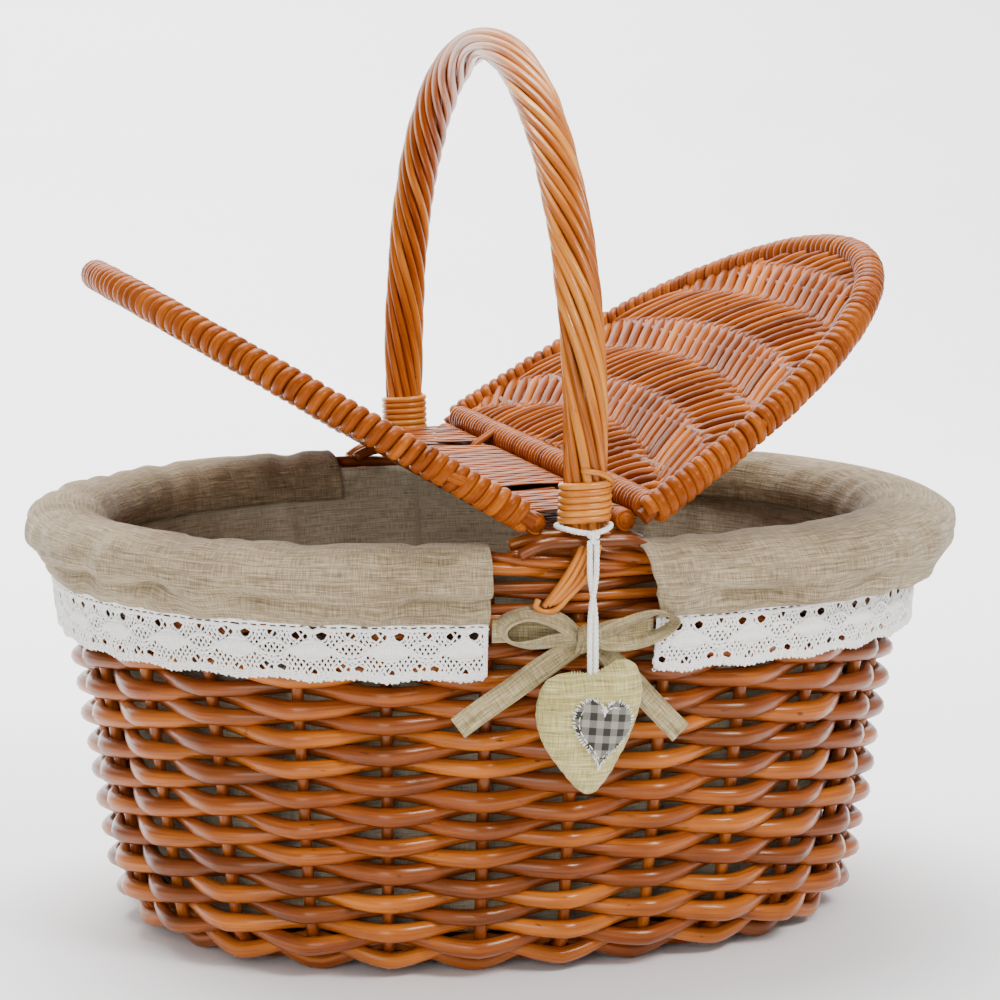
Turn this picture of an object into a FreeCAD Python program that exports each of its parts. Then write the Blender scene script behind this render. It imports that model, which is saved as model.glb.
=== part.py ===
import FreeCAD, Part
import Sketcher
import math
import os
from FreeCAD import Placement, Rotation, Vector

# Oval willow basket with two hinged half lids, an arched handle, a linen lining with turned-over
# cuffs, lace edging, ribbon bows and a stuffed heart on a cotton cord.
# Frame: +Z up, +X along the long axis, -Y to the front, origin on the floor under the centre.
# Lengths are in millimetres and angles in degrees.

DIMENSIONS = (
    # oval plan and wall
    ("rim_half_length", 194.0, "outer face of the rim, along X"),
    ("rim_half_width", 156.0, "outer face of the rim, along Y"),
    ("rim_end_radius", 150.0, "radius of the two end arcs of the oval"),
    ("rim_height", 185.5, "top of the willow border"),
    ("wall_taper", 28.0, "how far the wall leans in between rim and floor"),
    ("wall_thickness", 17.0, "woven rods and the stakes between them"),
    ("floor_corner", 23.0, "width and height of the rounded bottom corner"),
    ("border_height", 11.5, "plaited border on top of the wall"),
    ("waling_height", 14.0, "thick rods under the border"),
    ("base_thickness", 10.0, "woven bottom"),
    ("base_stick_width", 5.0, "sticks across the bottom"),
    ("stake_width", 5.2, "upright stakes"),
    # handle
    ("handle_top", 384.0, "centre line of the arch at its top"),
    ("handle_half_span", 153.0, "centre line of the arch at its widest"),
    ("handle_widest_height", 225.0, "where the arch is widest"),
    ("handle_side_radius", 195.0, "curve of the legs"),
    ("handle_width", 19.0, "wrapped section along X"),
    ("handle_depth", 14.5, "wrapped section across the arch"),
    ("bow_width", 9.2, "bare rod inside the wrapping"),
    ("binding_rod", 2.7, "thin rod bound round each foot"),
    ("tail_rod", 2.6, "thin rods that lead down from the binding"),
    # bridge and lids
    ("hinge_height", 195.0, "axis of both hinge bars"),
    ("hinge_half_gap", 19.0, "hinge bars from the centre plane"),
    ("hinge_bar", 7.0, "diameter of the hinge bars"),
    ("hinge_reach", 11.0, "hinge bar to the bar of the lid"),
    ("lid_border", 13.4, "wrapped edge of a lid"),
    ("lid_frame", 6.6, "bare rod inside the wrapped edge"),
    ("lid_overlap", 1.5, "centre line of the lid edge beyond the rim"),
    ("lid_thickness", 8.0, "woven lid panel"),
    ("lid_rib", 4.2, "sticks inside the lid panel"),
    ("loop_spread", 75.0, "hinge loops from the centre, along Y"),
    ("loop_width", 8.0, "hinge loop along the bar"),
    ("loop_wall", 2.3, "willow skein of a hinge loop"),
    ("left_lid_angle", 31.0, "left lid above level"),
    ("right_lid_angle", 33.0, "right lid above level"),
    ("bridge_thickness", 6.0, "woven bridge between the hinge bars"),
    # lining
    ("cuff_top", 188.0, "top of the cloth roll"),
    ("cuff_bulge", 10.5, "cloth roll beyond the rim"),
    ("cuff_bottom", 157.0, "hem of the turned-over cloth"),
    ("cuff_cloth", 2.0, "turned-over cloth"),
    ("left_cuff_gap", 40.0, "centre plane to the left cuff"),
    ("right_cuff_gap", 30.0, "centre plane to the right cuff"),
    ("lace_bottom", 131.0, "scalloped edge of the lace"),
    ("lace_cloth", 1.2, "lace band"),
    ("bag_cloth", 1.5, "lining cloth inside the basket"),
    # ribbon bow
    ("knot_height", 149.0, "middle of the ribbon knot"),
    ("ribbon_width", 8.0, "flat ribbon"),
    ("ribbon_cloth", 1.6, "doubled ribbon cloth"),
    ("bow_loop_length", 32.0, "each loop of the bow"),
    ("tail_length", 66.0, "each loose ribbon end"),
    # hanging heart
    ("cord_width", 2.4, "cotton cord"),
    ("pendant_depth", 164.0, "hanging cord in front of the centre"),
    ("heart_top", 139.0, "top of the two lobes"),
    ("heart_width", 44.0, "across the two lobes"),
    ("heart_height", 52.0, "lobes to tip"),
    ("heart_depth", 17.0, "stuffed thickness"),
    ("heart_tilt", 4.0, "lean of the heart on its cord"),
    ("patch_scale", 0.6, "cloth heart on the front, against the stuffed one"),
    ("patch_cloth", 1.0, "cloth heart thickness"),
    ("clearance", 0.3, "between pieces that do not touch"),
)
STAKE_PLACES = 26
ROW_START = 90.0
BASE_STICKS = 7
LID_RIBS = 6
BINDING_TURNS = 6
TAIL_RODS = 4
WEAVE_BANDS = ("side_weave_lower", "side_weave_upper")
STICK_SPREAD = 0.92     # sticks of the bottom, over this share of its length
CORNER_ROUND = 1.05     # middle of the corner arc, against a true quarter circle
SEAT_SHARE = 0.4        # how deep rods are seated in the foot, waling and border
RING_END = 0.9          # end radius of the rings round the handle, against their depth
TAIL_RUN = 1.5          # sideways run of the loose rod ends, in handle rods
BEND_IN = (0.9, 1.3)    # cuff bend over the inside of the rim below its top, in cloths: outer, inner face
BEND_OUT = (1.3, 2.1)   # cuff bend over the outside of the rim below its top, in cloths
BEND_REACH = (1.6, 0.5)  # the same bend beyond its middle, in cloths
KNOT_SIZE = (0.55, 0.45, 0.6)   # half width, half depth and half height of the knot, in ribbon widths
LOOP_SIZE = (0.8, 0.7)          # half height and depth of the bow's loops, in ribbon widths
LOOP_LIFT = 0.3                 # middle of the loops above the knot, in ribbon widths
LOOP_TILT = 8                   # lean of each loop, degrees
TAIL_DROP = {-1: 0.55, 1: 0.62}  # fall of the left and right loose ends, against their length
TAIL_SEAT = (1.3, 0.85)         # start of the ends behind, in cloths, and below the knot, in widths
TAIL_BACK = 0.8                 # how far the ends draw back to the wall, in ribbon widths
TAPE_BACK = 0.35                # tapes behind the middle of the knot, in ribbon widths
LOBE_SIDE = 0.6                 # widest point of the heart below its notch, in lobes
LOBE_BEND = (1.05, 0.95)        # top of each lobe beside and above the notch, in lobes
SIDE_BEND = (1.35, 0.45)        # side of the heart, out in lobes and down in heights
HEART_LAYERS = ((-1, 0.62), (-0.6, 0.92), (0, 1), (0.6, 0.92), (1, 0.62))  # depth share, size share
HEART_MIDDLE = 0.35             # point that the layers shrink towards, in heights below the notch

doc = FreeCAD.newDocument("OvalBasket")
sheet = doc.addObject("Spreadsheet::Sheet", "Dimensions")
for row, (alias, size, note) in enumerate(DIMENSIONS, start=1):
    sheet.set(f"A{row}", note)
    sheet.set(f"B{row}", str(size))
    sheet.setAlias(f"B{row}", alias)
doc.recompute()

SIZE = {alias: float(sheet.get(alias)) for alias, _, _ in DIMENSIONS}
sub_parts = []


def cell(alias):
    """The expression that reads a named cell."""
    return f"Dimensions.{alias}"


def keep(shape, label, placement=None):
    """Add a finished sub-part to the document under its label."""
    piece = doc.addObject("Part::Feature", label)
    piece.Label = label
    piece.Shape = shape
    if placement is not None:
        piece.Placement = placement * shape.Placement
    sub_parts.append(piece)
    return piece


def keep_object(piece, label):
    """Name a parametric object as a finished sub-part."""
    piece.Label = label
    sub_parts.append(piece)
    return piece


# ---------------------------------------------------------------- oval geometry

class Oval:
    """An oval of four tangent arcs; every parallel oval has the same four centres."""

    def __init__(self, half_length, half_width, end_radius):
        self.end_radius = end_radius
        self.end_centre = half_length - end_radius
        self.side_radius = ((self.end_centre ** 2 + half_width ** 2 - end_radius ** 2)
                            / (2 * (half_width - end_radius)))
        self.side_centre = self.side_radius - half_width
        self.turn = math.degrees(math.atan2(self.side_centre, self.end_centre))
        turn = self.turn
        self.sectors = (
            (-turn, turn, Vector(self.end_centre, 0, 0), end_radius),
            (turn, 180 - turn, Vector(0, -self.side_centre, 0), self.side_radius),
            (180 - turn, 180 + turn, Vector(-self.end_centre, 0, 0), end_radius),
            (180 + turn, 360 - turn, Vector(0, self.side_centre, 0), self.side_radius),
        )

    def spans(self, start, stop):
        """Pieces of the sectors that lie between two directions, in order."""
        for lap in (-360, 0, 360):
            for low, high, centre, radius in self.sectors:
                first = max(start, low + lap)
                last = min(stop, high + lap)
                if last - first > 1e-6:
                    yield first, last, centre, radius

    def point(self, direction, offset, height=0.0):
        """Point that faces a direction, outside the oval by an offset."""
        for first, _, centre, radius in self.spans(direction, direction + 0.01):
            angle = math.radians(first)
            reach = radius + offset
            return centre + Vector(reach * math.cos(angle), reach * math.sin(angle), height)
        raise ValueError(direction)

    def even_directions(self, count, offset, start):
        """Directions of points evenly spaced round the parallel oval."""
        spans = list(self.spans(start, start + 360))
        lengths = [math.radians(last - first) * (radius + offset) for first, last, _, radius in spans]
        total = sum(lengths)
        directions = []
        for index in range(count):
            left = total * index / count
            for (first, last, _, _), length in zip(spans, lengths):
                if left <= length:
                    directions.append(first + (last - first) * left / length)
                    break
                left -= length
        return directions

    def wire(self, offset, height):
        """The closed parallel oval at a height."""
        edges = []
        for first, last, centre, radius in self.sectors:
            circle = Part.Circle(centre + Vector(0, 0, height), Vector(0, 0, 1), radius + offset)
            edges.append(Part.Arc(circle, math.radians(first), math.radians(last)).toShape())
        return Part.Wire(Part.__sortEdges__(edges))

    def sweep(self, section, start=None, stop=None):
        """Carry a section, drawn as outward offset and height, round the oval."""
        if start is None:
            start, stop = -self.turn, 360 - self.turn
        spans = []
        for first, last, centre, radius in self.spans(start, stop):
            face = section.copy()
            face.translate(Vector(radius, 0, 0))
            face.rotate(Vector(0, 0, 0), Vector(0, 0, 1), first)
            face.translate(centre)
            spans.append(face.revolve(centre, Vector(0, 0, 1), last - first))
        if len(spans) == 1:
            return spans[0]
        return spans[0].multiFuse(spans[1:]).removeSplitter()


def section(*corners):
    """Closed face in the XZ plane; a corner marked with its kind 'via' bends an arc there."""
    edges = []
    count = len(corners)
    index = 0
    while index < count:
        here = corners[index]
        following = corners[(index + 1) % count]
        if len(following) == 3:
            after = corners[(index + 2) % count]
            arc = Part.Arc(flat(here), flat(following), flat(after))
            edges.append(arc.toShape())
            index += 2
        else:
            edges.append(Part.LineSegment(flat(here), flat(following)).toShape())
            index += 1
    return Part.Face(Part.Wire(edges))


def flat(corner):
    """Corner of a section as a point of the XZ plane."""
    return Vector(corner[0], 0, corner[1])


def disc(offset, height, radius):
    """Round section at an offset and height."""
    circle = Part.Circle(Vector(offset, 0, height), Vector(0, -1, 0), radius)
    return Part.Face(Part.Wire(circle.toShape()))


def rod(start, end, radius):
    """Straight round rod between two points."""
    run = end - start
    return Part.makeCylinder(radius, run.Length, start, run)


OVAL = Oval(SIZE["rim_half_length"], SIZE["rim_half_width"], SIZE["rim_end_radius"])
GAP = SIZE["clearance"]


def wall_offset(height):
    """Offset of the outer face of the wall at a height."""
    return -SIZE["wall_taper"] * (1 - height / SIZE["rim_height"])


def middle_offset(height):
    """Offset of the middle of the wall, where the stakes stand."""
    return wall_offset(height) - SIZE["wall_thickness"] / 2


# ---------------------------------------------------------------- handle geometry

class Arch:
    """Handle centre line in the YZ plane: a top arc with a long side arc tangent at each end."""

    def __init__(self):
        side = SIZE["handle_side_radius"]
        span = SIZE["handle_half_span"]
        rise = SIZE["handle_top"] - SIZE["handle_widest_height"]
        inward = side - span
        self.side_radius = side
        self.top_radius = (side ** 2 - inward ** 2 - rise ** 2) / (2 * (side - rise))
        self.side_centre = Vector(0, -inward, SIZE["handle_widest_height"])
        self.top_centre = Vector(0, 0, SIZE["handle_top"] - self.top_radius)
        self.turn = math.degrees(math.atan2(self.top_centre.z - self.side_centre.z, inward))

    def side_angle(self, height):
        """Angle on the back side arc at a height."""
        return math.degrees(math.asin((height - self.side_centre.z) / self.side_radius))

    def side_point(self, angle):
        """Point of the back side arc."""
        turn = math.radians(angle)
        return self.side_centre + Vector(0, math.cos(turn), math.sin(turn)) * self.side_radius

    def sweep(self, half_width, half_depth, low_angle):
        """Carry an oval section over the whole arch, from one low angle to the other."""
        back = self.leg(half_width, half_depth, low_angle, self.turn)
        top = self.span(self.top_centre, self.top_radius, half_width, half_depth, self.turn, 180 - self.turn)
        front = back.mirror(Vector(0, 0, 0), Vector(0, 1, 0))
        return back.multiFuse([top, front])

    def leg(self, half_width, half_depth, low_angle, high_angle):
        """Stretch of the back leg between two angles."""
        return self.span(self.side_centre, self.side_radius, half_width, half_depth, low_angle, high_angle)

    @staticmethod
    def span(centre, radius, half_width, half_depth, first, last):
        """Turn an oval section about an axis along X."""
        major, minor = max(half_width, half_depth), min(half_width, half_depth)
        if major == minor:
            curve = Part.Circle(Vector(0, radius, 0), Vector(0, 0, 1), major)
        else:
            curve = Part.Ellipse(Vector(major, radius, 0), Vector(0, radius + minor, 0), Vector(0, radius, 0))
        face = Part.Face(Part.Wire(curve.toShape()))
        face.rotate(Vector(0, 0, 0), Vector(1, 0, 0), first)
        face.translate(centre)
        return face.revolve(centre, Vector(1, 0, 0), last - first)


ARCH = Arch()


def mirrored(shape):
    """Copy of a back piece at the front."""
    return shape.mirror(Vector(0, 0, 0), Vector(0, 1, 0))


# ---------------------------------------------------------------- bottom

def build_base():
    """Woven bottom, padded from a four-arc sketch, with its sticks in channels."""
    body = doc.addObject("PartDesign::Body", "BaseBody")
    sketch = body.newObject("Sketcher::SketchObject", "BaseOutline")
    ground = next(item for item in body.Origin.OriginFeatures if item.Role == "XY_Plane")
    sketch.AttachmentSupport = [(ground, "")]
    sketch.MapMode = "FlatFace"
    offset = -(SIZE["wall_taper"] + SIZE["floor_corner"] + GAP)
    for first, last, centre, radius in OVAL.sectors:
        circle = Part.Circle(centre, Vector(0, 0, 1), radius + offset)
        sketch.addGeometry(Part.ArcOfCircle(circle, math.radians(first), math.radians(last)), False)
    for index in range(4):
        sketch.addConstraint(Sketcher.Constraint("Tangent", index, 2, (index + 1) % 4, 1))
    for index, line in ((0, -1), (1, -2), (2, -1)):
        sketch.addConstraint(Sketcher.Constraint("PointOnObject", index, 3, line))
    sketch.addConstraint(Sketcher.Constraint("Equal", 1, 3))
    end = sketch.addConstraint(Sketcher.Constraint("Radius", 0, OVAL.end_radius + offset))
    reach = sketch.addConstraint(Sketcher.Constraint("DistanceX", -1, 1, 0, 3, OVAL.end_centre))
    wide = sketch.addConstraint(Sketcher.Constraint("Radius", 1, OVAL.side_radius + offset))
    inset = f"{cell('wall_taper')} - {cell('floor_corner')} - {cell('clearance')}"
    centre = f"({cell('rim_half_length')} - {cell('rim_end_radius')})"
    end_arc, half_width = cell("rim_end_radius"), cell("rim_half_width")
    side_arc = f"({centre} ^ 2 + {half_width} ^ 2 - {end_arc} ^ 2) / (2 * ({half_width} - {end_arc}))"
    sketch.setExpression(f"Constraints[{end}]", f"{end_arc} - {inset}")
    sketch.setExpression(f"Constraints[{reach}]", centre)
    sketch.setExpression(f"Constraints[{wide}]", f"{side_arc} - {inset}")
    pad = body.newObject("PartDesign::Pad", "BasePad")
    pad.Profile = sketch
    pad.setExpression("Length", cell("base_thickness"))
    doc.recompute()

    thickness = SIZE["base_thickness"]
    stick_radius = SIZE["base_stick_width"] / 2
    half_length = SIZE["rim_half_length"] + offset
    sticks, channels = [], []
    for index in range(BASE_STICKS):
        x = half_length * (2 * (index + 0.5) / BASE_STICKS - 1) * STICK_SPREAD
        reach_y = chord(offset, x) - 2 * stick_radius
        start, end_point = Vector(x, -reach_y, thickness / 2), Vector(x, reach_y, thickness / 2)
        sticks.append(rod(start, end_point, stick_radius))
        channels.append(rod(start - Vector(0, GAP, 0), end_point + Vector(0, GAP, 0), stick_radius + GAP))
    keep(Part.makeCompound(sticks), "base_sticks")
    keep(body.Shape.cut(channels), "base_weave")


def chord(offset, x):
    """Half width of the parallel oval at a distance along X."""
    side = OVAL.side_radius + offset
    joint = side * math.cos(math.radians(OVAL.turn))
    if abs(x) <= joint:
        return math.sqrt(side ** 2 - x ** 2) - OVAL.side_centre
    end = OVAL.end_radius + offset
    return math.sqrt(end ** 2 - (abs(x) - OVAL.end_centre) ** 2)


# ---------------------------------------------------------------- wall

def stake_rods(radius, foot, top):
    """Upright stakes of a radius; the two handle feet take the places at front and back."""
    rods = []
    directions = OVAL.even_directions(STAKE_PLACES, middle_offset(SIZE["rim_height"] / 2), ROW_START)
    for index, direction in enumerate(directions):
        if index % (STAKE_PLACES // 2) == 0:
            continue
        start = OVAL.point(direction, middle_offset(foot), foot)
        end = OVAL.point(direction, middle_offset(top), top)
        rods.append(rod(start, end, radius))
    return rods


def foot_spike(radius, foot, top):
    """Pointed lower end of the back leg, pushed down the weave in a stake's place."""
    start = OVAL.point(ROW_START, middle_offset(foot), foot)
    end = OVAL.point(ROW_START, middle_offset(top), top)
    return rod(start, end, radius)


def build_wall():
    """Rings of weaving with channels for the stakes and for the feet of the handle."""
    thick = SIZE["wall_thickness"]
    corner = SIZE["floor_corner"]
    border_foot = SIZE["rim_height"] - SIZE["border_height"]
    waling_foot = border_foot - SIZE["waling_height"]
    band = (waling_foot - corner) / len(WEAVE_BANDS)
    stake = SIZE["stake_width"] / 2
    stake_foot = corner * SEAT_SHARE
    stake_top = border_foot + SIZE["border_height"] * SEAT_SHARE

    channels = stake_rods(stake + GAP, stake_foot - GAP, stake_top + GAP)
    spike = foot_spike(stake + GAP, corner + GAP, waling_foot + GAP)
    leg = ARCH.leg(SIZE["bow_width"] / 2 + GAP, SIZE["bow_width"] / 2 + GAP,
                   ARCH.side_angle(waling_foot - GAP), 0)
    channels += [spike, mirrored(spike), leg, mirrored(leg)]

    keep(Part.makeCompound(stake_rods(stake, stake_foot, stake_top)), "side_stakes")

    outer = wall_offset(corner)
    flat_edge = -(SIZE["wall_taper"] + corner)
    bend = corner * (1 - math.sqrt(0.5))
    foot = section((outer, corner), (outer - bend * CORNER_ROUND, bend, "via"), (outer - corner, 0),
                   (flat_edge, 0), (flat_edge, SIZE["base_thickness"]), (outer - thick, corner))
    keep(OVAL.sweep(foot).cut(channels), "foot_waling")

    for index, name in enumerate(WEAVE_BANDS):
        low = corner + index * band
        high = low + band
        face = section((wall_offset(low), low), (wall_offset(high), high),
                       (wall_offset(high) - thick, high), (wall_offset(low) - thick, low))
        keep(OVAL.sweep(face).cut(channels), name)

    face = section((wall_offset(waling_foot), waling_foot), (wall_offset(border_foot), border_foot),
                   (wall_offset(border_foot) - thick, border_foot),
                   (wall_offset(waling_foot) - thick, waling_foot))
    keep(OVAL.sweep(face).cut(channels), "rim_waling")

    shoulder = SIZE["rim_height"] - SIZE["border_height"] / 2
    edge = wall_offset(shoulder)
    face = section((wall_offset(border_foot), border_foot), (edge, shoulder),
                   (edge - thick / 2, SIZE["rim_height"], "via"), (edge - thick, shoulder),
                   (wall_offset(border_foot) - thick, border_foot))
    keep(OVAL.sweep(face).cut(channels), "rim_border")


# ---------------------------------------------------------------- handle

def binding_foot():
    """Height of the lowest turn of the foot binding."""
    return cord_height() + SIZE["cord_width"] / 2 + GAP + SIZE["binding_rod"] / 2


def cord_height():
    """Height of the cord ring, just above the end rods of the bridge."""
    return end_rod_height() + end_rod_radius() + GAP + SIZE["cord_width"] / 2


def end_rod_radius():
    """Radius of the rods that fill the space between the rim and the hinge bars."""
    return (SIZE["hinge_height"] - SIZE["hinge_bar"] / 2 - SIZE["rim_height"]) / 2 - GAP


def end_rod_height():
    """Height of the end rods of the bridge."""
    return SIZE["rim_height"] + GAP + end_rod_radius()


def ring(radius, height):
    """Level rod or cord of a radius, laid in an oval ring round the wrapped back leg."""
    out = GAP + radius
    half_depth = SIZE["handle_depth"] / 2 + out
    loop = Oval(SIZE["handle_width"] / 2 + out, half_depth, half_depth * RING_END)
    shape = loop.sweep(disc(0, 0, radius))
    shape.translate(ARCH.side_point(ARCH.side_angle(height)))
    return shape


def build_handle():
    """Bent rod, its wrapping, the binding of each foot and the rod ends below it."""
    bow = SIZE["bow_width"] / 2
    half_width, half_depth = SIZE["handle_width"] / 2, SIZE["handle_depth"] / 2
    waling_foot = SIZE["rim_height"] - SIZE["border_height"] - SIZE["waling_height"]
    spike_foot = waling_foot * SEAT_SHARE
    spike = foot_spike(SIZE["stake_width"] / 2, spike_foot, waling_foot + bow)
    arch = ARCH.sweep(bow, bow, ARCH.side_angle(waling_foot))
    keep(arch.multiFuse([spike, mirrored(spike)]), "handle_bow")

    wrap_foot = end_rod_height() + end_rod_radius() + GAP
    slope_drop = -half_depth * math.sin(math.radians(ARCH.side_angle(wrap_foot)))
    low = ARCH.side_angle(wrap_foot + slope_drop)
    wrap = ARCH.sweep(half_width, half_depth, low)
    bore = ARCH.sweep(bow + GAP, bow + GAP, low - 1)
    keep(wrap.cut(bore), "handle_wrapping")

    pitch = SIZE["binding_rod"] + GAP / 5
    binding = Part.makeCompound([ring(SIZE["binding_rod"] / 2, binding_foot() + pitch * turn)
                                 for turn in range(BINDING_TURNS)])
    keep(mirrored(binding), "handle_binding_front")
    keep(binding, "handle_binding_back")

    tail = tail_rods()
    keep(tail, "handle_tail_front")
    keep(tail.copy(), "handle_tail_back", Placement(Vector(0, 0, 0), Rotation(Vector(0, 0, 1), 180)))


def tail_rods():
    """Thin rods that leave the front foot and lie down the outside of the rim."""
    radius = SIZE["tail_rod"] / 2
    stand = radius + GAP
    top = SIZE["rim_height"] - SIZE["border_height"] / 2
    low = SIZE["knot_height"] + SIZE["ribbon_width"]
    run = TAIL_RUN * SIZE["bow_width"]
    pitch = (2 * radius + GAP) / math.cos(math.atan2(run, top - low))
    rods = []
    for index in range(TAIL_RODS):
        side = (index - (TAIL_RODS - 1) / 2) * pitch
        start = OVAL.point(270, wall_offset(top) + stand, top) + Vector(side, 0, 0)
        end = OVAL.point(270, wall_offset(low) + stand, low) + Vector(side - run, 0, 0)
        rods.append(rod(start, end, radius))
    return Part.makeCompound(rods)


# ---------------------------------------------------------------- bridge

def loop_cutter(side, extra):
    """Room that the hinge loops of one side take out of the bridge."""
    width = SIZE["loop_width"] + 2 * extra
    reach = SIZE["hinge_bar"] / 2 + GAP + SIZE["loop_wall"] + extra
    boxes = []
    for y in (-SIZE["loop_spread"], SIZE["loop_spread"]):
        centre = Vector(side * SIZE["hinge_half_gap"], y, SIZE["hinge_height"])
        corner = centre - Vector(reach, width / 2, reach)
        boxes.append(Part.makeBox(2 * reach, width, 2 * reach, corner))
    return boxes


def build_bridge():
    """Two hinge bars, the weaving between them and the rods they rest on at each end."""
    for side, word in ((-1, "left"), (1, "right")):
        bar = doc.addObject("Part::Cylinder", f"BridgeBar{word}")
        bar.setExpression("Radius", f"{cell('hinge_bar')} / 2")
        bar.setExpression("Height", f"2 * {cell('rim_half_width')}")
        bar.setExpression("Placement.Base.x", f"{side} * {cell('hinge_half_gap')}")
        bar.setExpression("Placement.Base.y", f"{cell('rim_half_width')}")
        bar.setExpression("Placement.Base.z", cell("hinge_height"))
        bar.Placement.Rotation = Rotation(Vector(1, 0, 0), 90)
        keep_object(bar, f"bridge_bar_{word}")

    half = f"({cell('hinge_half_gap')} - {cell('hinge_bar')} / 2 - {cell('clearance')})"
    edge = f"{cell('wall_thickness')} - {cell('cuff_cloth')} - 2 * {cell('clearance')}"
    reach = f"({cell('rim_half_width')} - {edge})"
    slab = doc.addObject("Part::Box", "BridgeSlab")
    slab.setExpression("Length", f"2 * {half}")
    slab.setExpression("Width", f"2 * {reach}")
    slab.setExpression("Height", cell("bridge_thickness"))
    slab.setExpression("Placement.Base.x", f"-{half}")
    slab.setExpression("Placement.Base.y", f"-{reach}")
    slab.setExpression("Placement.Base.z", f"{cell('hinge_height')} - {cell('bridge_thickness')} / 2")
    doc.recompute()
    keep(slab.Shape.cut(loop_cutter(-1, GAP) + loop_cutter(1, GAP)), "bridge_weave")

    radius = end_rod_radius()
    bow = SIZE["bow_width"] / 2 + GAP + radius
    foot = ARCH.side_point(ARCH.side_angle(end_rod_height())).y
    swing = math.degrees((SIZE["hinge_half_gap"] + SIZE["hinge_bar"] / 2 - GAP) / OVAL.side_radius)
    rods = []
    for y in (foot - bow, foot + bow):
        offset = y - SIZE["rim_half_width"]
        rods.append(OVAL.sweep(disc(offset, end_rod_height(), radius), 90 - swing, 90 + swing))
    back = Part.makeCompound(rods)
    keep(mirrored(back), "bridge_rods_front")
    keep(back, "bridge_rods_back")


# ---------------------------------------------------------------- lids

def bar_segments(x, outer, inner, reach):
    """Wrapped sleeve along the lid bar, open where the hinge loops pass."""
    loop_half = SIZE["loop_width"] / 2 + GAP
    spread = SIZE["loop_spread"]
    stops = (-reach, -spread - loop_half, -spread + loop_half, spread - loop_half, spread + loop_half, reach)
    sleeves = []
    for low, high in zip(stops[::2], stops[1::2]):
        start, end = Vector(x, low, SIZE["hinge_height"]), Vector(x, high, SIZE["hinge_height"])
        sleeves.append(rod(start, end, outer).cut(rod(start, end, inner)))
    return Part.makeCompound(sleeves)


def hinge_loop(y):
    """Skein loop round the hinge bar and the lid bar."""
    far = SIZE["hinge_half_gap"] + SIZE["hinge_reach"]
    inner = SIZE["hinge_bar"] / 2 + GAP
    shapes = []
    wide, level = SIZE["loop_width"], SIZE["hinge_height"]
    for radius in (inner + SIZE["loop_wall"], inner):
        ends = [Part.makeCylinder(radius, wide, Vector(x, y + wide / 2, level), Vector(0, -1, 0))
                for x in (SIZE["hinge_half_gap"], far)]
        corner = Vector(SIZE["hinge_half_gap"], y - wide / 2, level - radius)
        middle = Part.makeBox(SIZE["hinge_reach"], wide, 2 * radius, corner)
        shapes.append(ends[0].multiFuse([ends[1], middle]).removeSplitter())
    return shapes[0].cut(shapes[1])


def half_panel(offset, x, low, high):
    """Plate inside the parallel oval beyond a line across it."""
    face = Part.Face(OVAL.wire(offset, low))
    plate = face.extrude(Vector(0, 0, high - low))
    far = 2 * SIZE["rim_half_length"]
    keeper = Part.makeBox(far, 2 * far, 2 * (high - low), Vector(x, -far, low - (high - low) / 2))
    return plate.common(keeper)


def build_lid(side, word, rest_angle):
    """Half-oval lid, drawn level on the right and turned about its hinge to its resting angle."""
    level = SIZE["hinge_height"]
    edge = SIZE["lid_overlap"]
    outer, inner = SIZE["lid_border"] / 2, SIZE["lid_frame"] / 2
    bar_x = SIZE["hinge_half_gap"] + SIZE["hinge_reach"]
    mouth = bar_x - outer
    swing = math.degrees(math.acos(mouth / (OVAL.side_radius + edge)))
    corner_y = chord(edge, bar_x)
    reach = chord(edge, bar_x + outer) - outer - GAP

    hoop = OVAL.sweep(disc(edge, level, inner), -swing, swing)
    sleeve = OVAL.sweep(disc(edge, level, outer), -swing, swing)
    bore = OVAL.sweep(disc(edge, level, inner + GAP), -swing - 1, swing + 1)
    bar_reach = corner_y - inner - GAP
    bar_ends = [Vector(bar_x, y, level) for y in (-bar_reach, bar_reach)]
    bar = rod(*bar_ends, inner)
    bar_room = rod(*bar_ends, inner + GAP)

    panel_offset = edge - outer - GAP
    panel_x = bar_x + outer + GAP
    half = SIZE["lid_thickness"] / 2
    panel = half_panel(panel_offset, panel_x, level - half, level + half)
    rib = SIZE["lid_rib"] / 2
    end_x = SIZE["rim_half_length"] + panel_offset
    pitch = (end_x - panel_x) / (LID_RIBS + 0.5)
    ribs, rooms = [], []
    for index in range(LID_RIBS):
        x = panel_x + pitch * (index + 0.5)
        half_rib = chord(panel_offset, x) - 2 * rib
        ends = [Vector(x, y, level) for y in (-half_rib, half_rib)]
        ribs.append(rod(*ends, rib))
        rooms.append(rod(*ends, rib + GAP))

    spread = SIZE["loop_spread"]
    pieces = {
        "frame": hoop,
        "bar": bar,
        "border": sleeve.cut([bore, bar_room]),
        "bar_wrapping": bar_segments(bar_x, outer, inner + GAP, reach),
        "ribs": Part.makeCompound(ribs),
        "weave": panel.cut(rooms),
        "hinge_loops": Part.makeCompound([hinge_loop(y) for y in (-spread, spread)]),
    }
    turn = Rotation(Vector(0, 1, 0), -rest_angle)
    axis = Vector(SIZE["hinge_half_gap"], 0, level)
    placement = Placement(Vector(0, 0, 0), turn, axis)
    if side < 0:
        placement = Placement(Vector(0, 0, 0), Rotation(Vector(0, 0, 1), 180)) * placement
    for name, shape in pieces.items():
        keep(shape, f"{word}_lid_{name}", placement)


# ---------------------------------------------------------------- lining

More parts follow.
